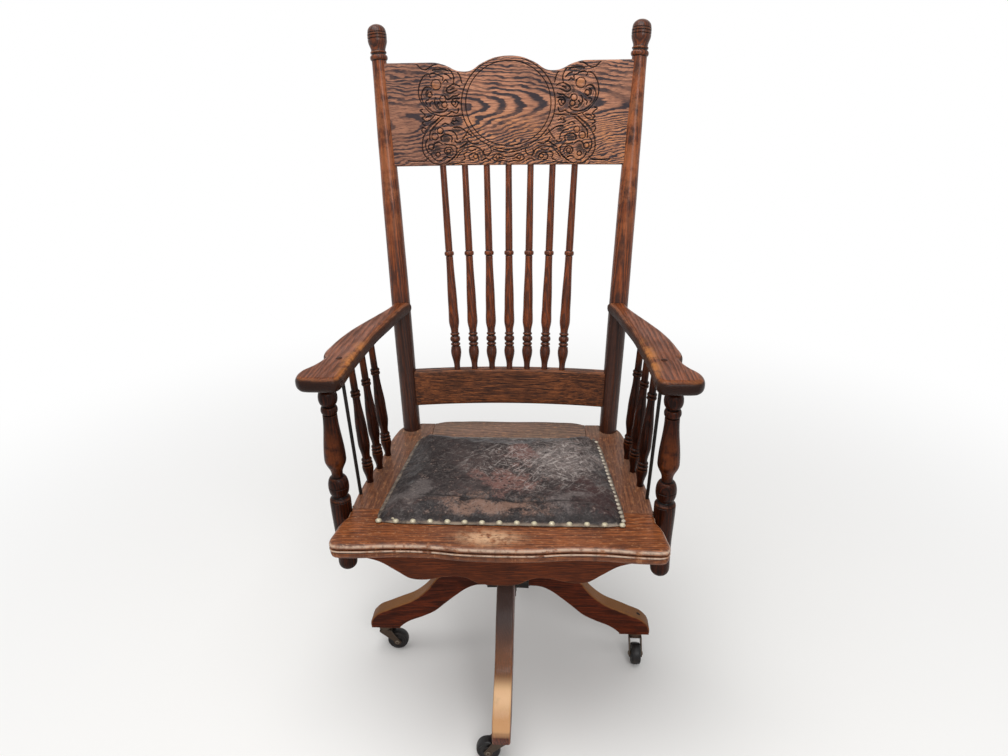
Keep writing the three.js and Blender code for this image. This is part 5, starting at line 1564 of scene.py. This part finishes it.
def creased(x, y, z):
    """Height of the hide with its creases and lumps, and its relief, which is high where it is torn."""
    wander = FOLD_WANDER * uneven(x * 0.012, 0, 3)
    side = pad_half((y + PAD_FRONT) / PAD_DEEP)
    torn = ridge(y + PAD_FRONT - PAD_EDGE, TORN_WIDE)
    torn += TORN_SHARE * ridge(y - PAD_BACK + TORN_WIDE, TORN_WIDE)
    torn += TORN_SHARE * ridge(abs(x) - side + TORN_WIDE, TORN_WIDE)
    value = torn * (0.7 + 0.6 * uneven(x * 0.06, y * 0.1, 7))
    for at, slope, wide, middle, reach, depth, dark in PAD_FOLDS:
        fade = min(1, max(0, (reach - abs(x - middle)) / FOLD_FADE))
        fold = ridge(y - at + slope * x + wander, wide) * fade
        z -= depth * fold
        value -= dark * fold
    z += LUMP * uneven(x * 0.035, y * 0.05, 0.5) + FINE_LUMP * uneven(x * 0.13, y * 0.16, 2.5)
    return min(z, SEAT + GAP + PAD_EDGE + PAD_CROWN + PAD_PROUD), max(-1.0, min(1.0, value))


def crease(made):
    """Halves the pad's faces, adds creases and lumps, and marks the creases and the torn edges."""
    fine = made.modifiers.new("finer", "SUBSURF")
    fine.levels = 1
    fine.render_levels = 1
    graph = bpy.context.evaluated_depsgraph_get()
    mesh = bpy.data.meshes.new_from_object(made.evaluated_get(graph))
    made.modifiers.clear()
    made.data = mesh
    places = []
    values = []
    for vertex in mesh.vertices:
        x, y, z = [part / MM for part in vertex.co]
        value = 0.0
        if z > SEAT + HIDE_LEVEL:
            z, value = creased(x, y, z)
        places.extend((x * MM, y * MM, z * MM))
        values.append(value)
    mesh.vertices.foreach_set("co", places)
    mesh.attributes["relief"].data.foreach_set("value", values)
    mesh.shade_smooth()
    mesh.update()


def dome_tack(form, x, y, z, size):
    radius, height = size
    profile = [(-TACK_SINK, radius), (0, radius), *dome(TACK_RIM, height, radius, 4)]
    spin(form, profile, 12, placed(x, y, z))


def border_tacks(count):
    """Numbers and places of tacks along the right edge of the pad."""
    for index in range(1, count):
        share = index / count
        yield index, pad_half(share) - TACK_IN, -PAD_FRONT + TACK_END + share * (PAD_DEEP - 2 * TACK_END)


def build_tacks(metals):
    bright = Form()
    for index in range(FRONT_TACKS):
        y = -PAD_FRONT + FRONT_TACK_IN + TACK_WANDER * uneven(index * 1.7, 0.3, 0)
        dome_tack(bright, FRONT_TACK_START + FRONT_TACK_STEP * index, y, TACK_LEVEL, BRIGHT_TACK)
    for x, y in SPARE_TACKS:
        dome_tack(bright, x, y, TACK_LEVEL + SPARE_RISE, SPARE_TACK)
    piece("front_tacks", bright, "upper", metals["brass"])
    dusty = Form()
    for index, x, y in border_tacks(DUSTY_TACKS):
        if uneven(index * 2.3, 5.1, 0) > -0.25:
            dome_tack(dusty, x - DUSTY_IN, y, TACK_LEVEL, DUSTY_TACK)
    piece("right_tacks", dusty, "upper", metals["dusty"])
    dull = Form()
    for index, x, y in border_tacks(DULL_TACKS):
        dome_tack(dull, -x, y, TACK_LEVEL - DULL_SINK, DULL_TACK)
    for index in range(BACK_TACKS):
        x = BACK_TACK_STEP * (index - (BACK_TACKS - 1) / 2)
        dome_tack(dull, x, PAD_BACK - TACK_IN, TACK_LEVEL - DULL_SINK, DULL_TACK)
    piece("dull_tacks", dull, "upper", metals["dull"])


# Base: shares of the leg's length from the hub and of its height
LEG_TOP_SHARES = (
    (0, 0.987), (0.087, 0.993), (0.181, 0.954), (0.286, 0.855), (0.395, 0.722), (0.525, 0.505),
    (0.626, 0.397), (0.726, 0.335), (0.834, 0.268), (0.934, 0.202), (0.982, 0.134),
)
LEG_TOE_SHARE = (1, 0.076)
LEG_UNDER_SHARES = (
    (0.754, 0.013), (0.72, 0.056), (0.664, 0.108), (0.555, 0.173), (0.445, 0.253), (0.353, 0.364),
    (0.262, 0.471), (0.173, 0.565), (0.101, 0.611), (0, 0.624),
)
LEG_SPACING = 6
FORK_PLATE = 2.5
FORK_EASE = 0.9
CHEEK_TOP = 2.3
CHEEK_RISE = 2
CHEEK_EASE = 0.6
CHEEK_TURN_SHARE = 0.98
# Turned iron: pairs of height and radius.
FORK_CUP = [(0, 13.6), (2, 14), *flow((3, 13.6), (8.1, 11.9)), (9.7, 12), (10.5, 11.4)]
WHEEL_FACE = [
    (0.6, 5.5), (0, 6.5), (0, 8.4), (1.6, 9.6), (1.6, AXLE_Z - 5.6), (0.3, AXLE_Z - 4.4), (0.2, AXLE_Z - 3),
]
TREAD_IN = 0.4
TREAD_RISE = 2.6
PIN_END = [(0.3, PIN_R), *dome(0.4, 2.3, PIN_HEAD, 4)]
SLEEVE_PROFILE = [
    (158, 14.5), (158.5, 16.6), (160, 17), (262.3, 17), (262.4, 30), (263.2, 31), (267.4, 31), (268.3, 30),
    (268.3, 13.2),
]


def leg_points(pairs):
    start = HUB_FLAT + GAP
    return [(start + along * (LEG_REACH - start), FOOT + up * LEG_RISE) for along, up in pairs]


def build_leg(oaks, name, turn):
    over = curve(leg_points(LEG_TOP_SHARES), 70)
    toe = curve([over[-1], *leg_points([LEG_TOE_SHARE]), (LEG_REACH, FOOT)], 8)[1:]
    under = curve(leg_points(LEG_UNDER_SHARES), 60)
    outline = [*over, *toe, *dense([(LEG_REACH, FOOT), (under[0][0], FOOT)], LEG_SPACING)[1:], *under]
    freedom = [0 if x < HUB_FLAT + HELD_EDGE else 1 for x, z in outline]
    layers = rounded(0, LEG_THICK, LEG_EASE, 5)
    form = board(Form(), outline[::-1], layers, freedom[::-1], upright(LEG_THICK / 2))
    finish = oaks["front_leg" if name == "front" else "leg"]
    piece(f"leg_{name}_shaped", form, "base", finish, [f"leg_{name}"], rotated(turn), flat=True)


def build_fork(metals, name, swivel):
    """A pressed cup and stem, a plate and two cheeks that hold the wheel's axle."""
    low = FOOT - FORK_DROP
    fork = spin(Form(), [(low + height, radius) for height, radius in FORK_CUP], 32)
    spin(fork, [(low, STEM_R), (FOOT + STEM_RISE, STEM_R)], 16)
    width = CHEEK_PLACE + CHEEK
    block(fork, (FORK_BACK, -width, low), (FORK_FRONT, width, low + FORK_PLATE), FORK_EASE)
    top = low + CHEEK_TOP
    turns = np.linspace(math.pi * CHEEK_TURN_SHARE, 2 * math.pi, 16)
    outline = [(FORK_BACK, top), (FORK_BACK, low - FORK_PLATE), (TRAIL - CHEEK_R, AXLE_Z + CHEEK_RISE)]
    outline += [(TRAIL + CHEEK_R * math.cos(turn), AXLE_Z + CHEEK_R * math.sin(turn)) for turn in turns]
    outline += [(FORK_FRONT, low), (FORK_FRONT, top)]
    for side in SIDES.values():
        back = side * (CHEEK_PLACE + CHEEK / 2) + CHEEK / 2
        board(fork, outline, rounded(0, CHEEK, CHEEK_EASE, 2), matrix=upright(back))
    body = f"caster_{name}"
    node = f"caster_fork_{name}"
    piece(f"fork_{name}", fork, body, metals["brown"], [node], swivel, flat=True)


def build_caster(metals, black, name, leg_turn, trail_turn):
    swivel = rotated(leg_turn) @ placed(STEM_REACH, 0, 0) @ rotated(trail_turn - leg_turn)
    build_fork(metals, name, swivel)
    lying = swivel @ placed(TRAIL, 0, AXLE_Z) @ rotated(90, "X")
    half = WHEEL_WIDTH / 2
    face = [(height - half, radius) for height, radius in WHEEL_FACE]
    tread = bead(TREAD_IN - half, half - TREAD_IN, AXLE_Z - TREAD_RISE, AXLE_Z, 12)
    wheel = spin(Form(), [*face, *tread, *[(-height, radius) for height, radius in face[::-1]]], 48)
    piece(f"wheel_{name}", wheel, f"wheel_{name}", black, [f"caster_wheel_{name}"], lying)
    end = [(CHEEK_PLACE + CHEEK + height, radius) for height, radius in PIN_END]
    pin = spin(Form(), [(-height, radius) for height, radius in end[::-1]] + end, 20)
    body = f"caster_{name}"
    piece(f"axle_pin_{name}", pin, body, metals["brown"], [f"caster_axle_{name}"], lying)


HOLLOW_STEPS = 8
HOLLOW_POWER = 0.8
HUB_EASE = 1.6


def waisted(flat, waist):
    """Outline of the hub: four flats for the legs, with hollows between them down to a waist."""
    half = math.pi / 8
    reach = flat / math.cos(half)
    out = []
    for corner in range(4):
        turn = math.pi / 2 * corner
        out.append(polar(reach, turn + half))
        for step in range(1, HOLLOW_STEPS):
            share = step / HOLLOW_STEPS
            radius = reach + (waist - reach) * math.sin(math.pi * share) ** HOLLOW_POWER
            out.append(polar(radius, turn + half + (math.pi / 2 - 2 * half) * share))
        out.append(polar(reach, turn + math.pi / 2 - half))
    return out


def build_hub(metals):
    levels = (HUB_LOW, HUB_STEP, HUB_TOP - HUB_RIM, HUB_TOP)
    form = Form()
    for low, high, waist in zip(levels, levels[1:], HUB_WAISTS):
        board(form, waisted(HUB_FLAT, waist), rounded(low, high - low, HUB_EASE, 2))
    piece("hub_casting", form, "base", metals["black"], ["hub"], flat=True)
    sleeve = spin(Form(), SLEEVE_PROFILE, 48)
    piece("hub_sleeve_turned", sleeve, "base", metals["brown"], ["hub_sleeve"])


THREAD_ROWS = 7
THREAD_WORN = 0.6
THREAD_SHADE = 1.4


def threaded(form, low, high, radius, pitch, depth, count=28):
    """A rod with a screw thread."""
    steps = int((high - low) / pitch * THREAD_ROWS)
    rings = []
    values = []
    for row in range(steps + 1):
        z = low + (high - low) * row / steps
        waves = [abs(2 * ((z / pitch - column / count) % 1) - 1) for column in range(count)]
        turns = [2 * math.pi * column / count for column in range(count)]
        rings.append([(*polar(radius - depth * wave, turn), z) for wave, turn in zip(waves, turns)])
        values.extend(THREAD_WORN - THREAD_SHADE * wave for wave in waves)
    return loft(form, rings, values)


def lobed(radius, depth, lobes=6, steps=72):
    """Outline of a hand wheel with finger hollows."""
    turns = [2 * math.pi * index / steps for index in range(steps)]
    return [polar(radius - depth * (1 - math.cos(lobes * turn)) / 2, turn) for turn in turns]


SCREW_FOOT = [(165, 9.5), (168, 11.4), (168.2, 11.6)]
SCREW_HEAD = [(371, 12), (386.5, 12)]
SCREW_CAP = [(0, 5), (0.3, 5), *dome(0.5, 2.2, 5, 4)]
NUT_RIM_R = 40
NUT_RIM_HOLLOW = 5
NUT_RIM_RISE = 5
NUT_RIM_LESS = 9
NUT_RIM_EASE = 4
NUT_PROFILE = [(0, 13.2), (0, 23), (1, 24), (NUT_HIGH - 1, 21), (NUT_HIGH, 20), (NUT_HIGH, 13.2)]
KNOB_R = 23
KNOB_HOLLOW = 2.5
KNOB_HIGH = 13
KNOB_EASE = 3
KNOB_PROFILE = [(0, 6.4), (0, 14), (19, 11), (20, 10), (20, 6.4)]
AXLE_PROFILE = [(0, 7), (68, 7), (68.1, 9.4), (68.8, 10), *dome(71, 74, 10, 4)]


def build_lift(metals):
    screw = threaded(Form(), SCREW_LOW, SCREW_HIGH, SCREW_R, SCREW_PITCH, SCREW_DEPTH)
    spin(screw, SCREW_FOOT, 28)
    spin(screw, SCREW_HEAD, 28)
    piece("screw_thread", screw, "lift", metals["steel"], ["lift_screw"])
    rim = rounded(NUT_LOW + NUT_RIM_RISE, NUT_HIGH - NUT_RIM_LESS, NUT_RIM_EASE)
    nut = board(Form(), lobed(NUT_RIM_R, NUT_RIM_HOLLOW), rim)
    spin(nut, [(NUT_LOW + height, radius) for height, radius in NUT_PROFILE], 40)
    piece("nut_wheel", nut, "nut", metals["black"], ["height_nut"], flat=True)
    dress("tilt_yoke", metals["black"])
    for name, side in SIDES.items():
        build_spring(metals, name, side * SPRING_X)


def spring_point(turn):
    """A point of the coil, whose first and last turns lie closed."""
    run = SPRING_LENGTH - 2 * SPRING_WIRE - 2 * GAP
    pitch = (run - 2 * SPRING_DEAD) / (SPRING_TURNS - 2)
    closed = min(turn, 1) + max(turn - SPRING_TURNS + 1, 0)
    return (*polar(SPRING_R, 2 * math.pi * turn), SPRING_DEAD * closed + pitch * (turn - closed))


def build_spring(metals, name, x):
    steps = SPRING_TURNS * 36
    path = [spring_point(SPRING_TURNS * index / steps) for index in range(steps + 1)]
    coil = tube(Form(), path, SPRING_WIRE)
    matrix = placed(x, -HOOK, SPRING_LOW + SPRING_WIRE + GAP)
    node = f"tilt_spring_{name}"
    made = piece(f"spring_{name}", coil, "lift", metals["steel"], [node], matrix)
    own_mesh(made)


def build_tension(metals):
    at = placed(0, -HOOK, 0)
    knob = board(Form(), lobed(KNOB_R, KNOB_HOLLOW), rounded(KNOB_LOW, KNOB_HIGH, KNOB_EASE), matrix=at)
    spin(knob, [(KNOB_LOW + height, radius) for height, radius in KNOB_PROFILE], 32, at)
    piece("knob_wheel", knob, "tension", metals["black"], ["tension_knob"], flat=True)
    dress("spring_plate", metals["black"])
    dress("tension_bolt", metals["steel"])


def build_tilt(metals):
    lying = placed(0, 0, PIVOT) @ rotated(90, "Y")
    axle = spin(Form(), [(-height, radius) for height, radius in AXLE_PROFILE[:0:-1]] + AXLE_PROFILE, 32)
    piece("axle_bar", axle, "upper", metals["brown"], ["tilt_axle"], lying)
    dress("seat_spider", metals["black"])
    screws = Form()
    down = rotated(180, "X")
    for side in SIDES.values():
        for y in SPIDER_SCREWS_Y:
            spin(screws, SCREW_CAP, 16, placed(side * SPIDER_SCREW_X, y, SPIDER_UNDER) @ down)
    piece("spider_screws", screws, "upper", metals["brown"])


# Camera, floor and light, in metres
CAMERA_PLACE = (0.0736, -1.2096, 1.1766)
CAMERA_PITCH = 24.076
CAMERA_TURN = 3.5605
CAMERA_ROLL = -1.037
FOCAL_PIXELS = 735.9
PICTURE_WIDE = 1008
FLOOR_HALF = 8
# Lamps: name, place, height of the point they face, width, depth and power.
LAMPS = (
    ("overhead", (-0.3, -0.5, 2.9), 0.5, 2.4, 1.6, 52),
    ("front", (0.9, -2.6, 2.2), 0.6, 1.4, 1.0, 26),
)
WHITE = (1, 1, 1, 1)


def put_in_scene(name, data):
    made = bpy.data.objects.new(name, data)
    bpy.context.scene.collection.objects.link(made)
    return made


def build_camera():
    data = bpy.data.cameras.new("camera")
    data.sensor_width = 36.0
    data.lens = FOCAL_PIXELS * data.sensor_width / PICTURE_WIDE
    data.clip_start = 0.05
    camera = put_in_scene("camera", data)
    turn = rotated(CAMERA_TURN) @ rotated(90 - CAMERA_PITCH, "X") @ rotated(CAMERA_ROLL)
    camera.matrix_world = placed(*CAMERA_PLACE) @ turn
    bpy.context.scene.camera = camera


def background_rays(tree):
    """1 for rays from the camera and for gloss and glass, and 0 for light that falls on the object."""
    path = tree.nodes.new("ShaderNodeLightPath")
    seen = path.outputs["Is Camera Ray"]
    for name in ("Is Glossy Ray", "Is Transmission Ray"):
        either = tree.nodes.new("ShaderNodeMath")
        either.operation = "MAXIMUM"
        tree.links.new(seen, either.inputs[0])
        tree.links.new(path.outputs[name], either.inputs[1])
        seen = either.outputs[0]
    return seen


def build_floor():
    """A pale floor that fades to the white background away from the chair."""
    graph = Graph("floor", roughness=0.9, specular=0.1)
    graph.feed(graph.shader.inputs["Base Color"], rgb(238, 237, 235))
    x, y, _ = graph.parts(graph.place())
    share = graph.fade(graph.root(x * x + y * y), FLOOR_FADE) * background_rays(graph.tree)
    glow = graph.node("ShaderNodeEmission", {"Color": WHITE})
    blend = graph.node("ShaderNodeMixShader", {0: share, 1: graph.shader.outputs[0], 2: glow})
    graph.feed(graph.tree.nodes["Material Output"].inputs["Surface"], blend)
    mesh = bpy.data.meshes.new("floor")
    corners = [(-FLOOR_HALF, -FLOOR_HALF, 0), (FLOOR_HALF, -FLOOR_HALF, 0)]
    corners += [(FLOOR_HALF, FLOOR_HALF, 0), (-FLOOR_HALF, FLOOR_HALF, 0)]
    mesh.from_pydata(corners, [], [(0, 1, 2, 3)])
    mesh.materials.append(graph.material)
    put_in_scene("floor", mesh)


def build_world():
    world = bpy.data.worlds.new("studio")
    bpy.context.scene.world = world
    world.use_nodes = True
    tree = world.node_tree
    back = tree.nodes["Background"]
    back.inputs["Color"].default_value = WHITE
    strength = tree.nodes.new("ShaderNodeMapRange")
    strength.inputs["To Min"].default_value = 0.5
    strength.inputs["To Max"].default_value = 1.0
    tree.links.new(background_rays(tree), strength.inputs["Value"])
    tree.links.new(strength.outputs[0], back.inputs["Strength"])


def build_lamps():
    for name, place, height, width, depth, power in LAMPS:
        data = bpy.data.lights.new(name, "AREA")
        data.shape = "RECTANGLE"
        data.size = width
        data.size_y = depth
        data.energy = power
        lamp = put_in_scene(name, data)
        lamp.location = place
        lamp.rotation_euler = (Vector((0, 0, height)) - Vector(place)).to_track_quat("-Z", "Y").to_euler()


def build_all():
    oaks = oak_set()
    metals = metal_set()
    build_front_rail(oaks)
    build_back_rail(oaks)
    build_apron(oaks)
    build_crest(oaks)
    build_lower_rail(oaks)
    for number in range(SPINDLES):
        build_back_spindle(oaks, number)
    for name, side in SIDES.items():
        build_side_rail(oaks, name, side)
        build_back_post(oaks, name, side)
        build_arm(oaks, name, side)
        build_arm_post(oaks, name, side)
        build_rod(oaks, metals, name, side)
        for number in range(SIDE_SPINDLES):
            build_side_spindle(oaks, name, side, number)
    dress("seat_panel", oaks["back"])
    dress("seat_rear_cleat", oaks["apron"])
    build_pad(hide())
    build_tacks(metals)
    build_hub(metals)
    build_lift(metals)
    build_tension(metals)
    build_tilt(metals)
    black = wheel_black()
    for name, (leg_turn, trail_turn) in LEGS.items():
        build_leg(oaks, name, leg_turn)
        build_caster(metals, black, name, leg_turn, trail_turn)


bpy.context.scene.view_settings.view_transform = "Standard"
build_camera()
build_floor()
build_world()
build_lamps()
build_all()
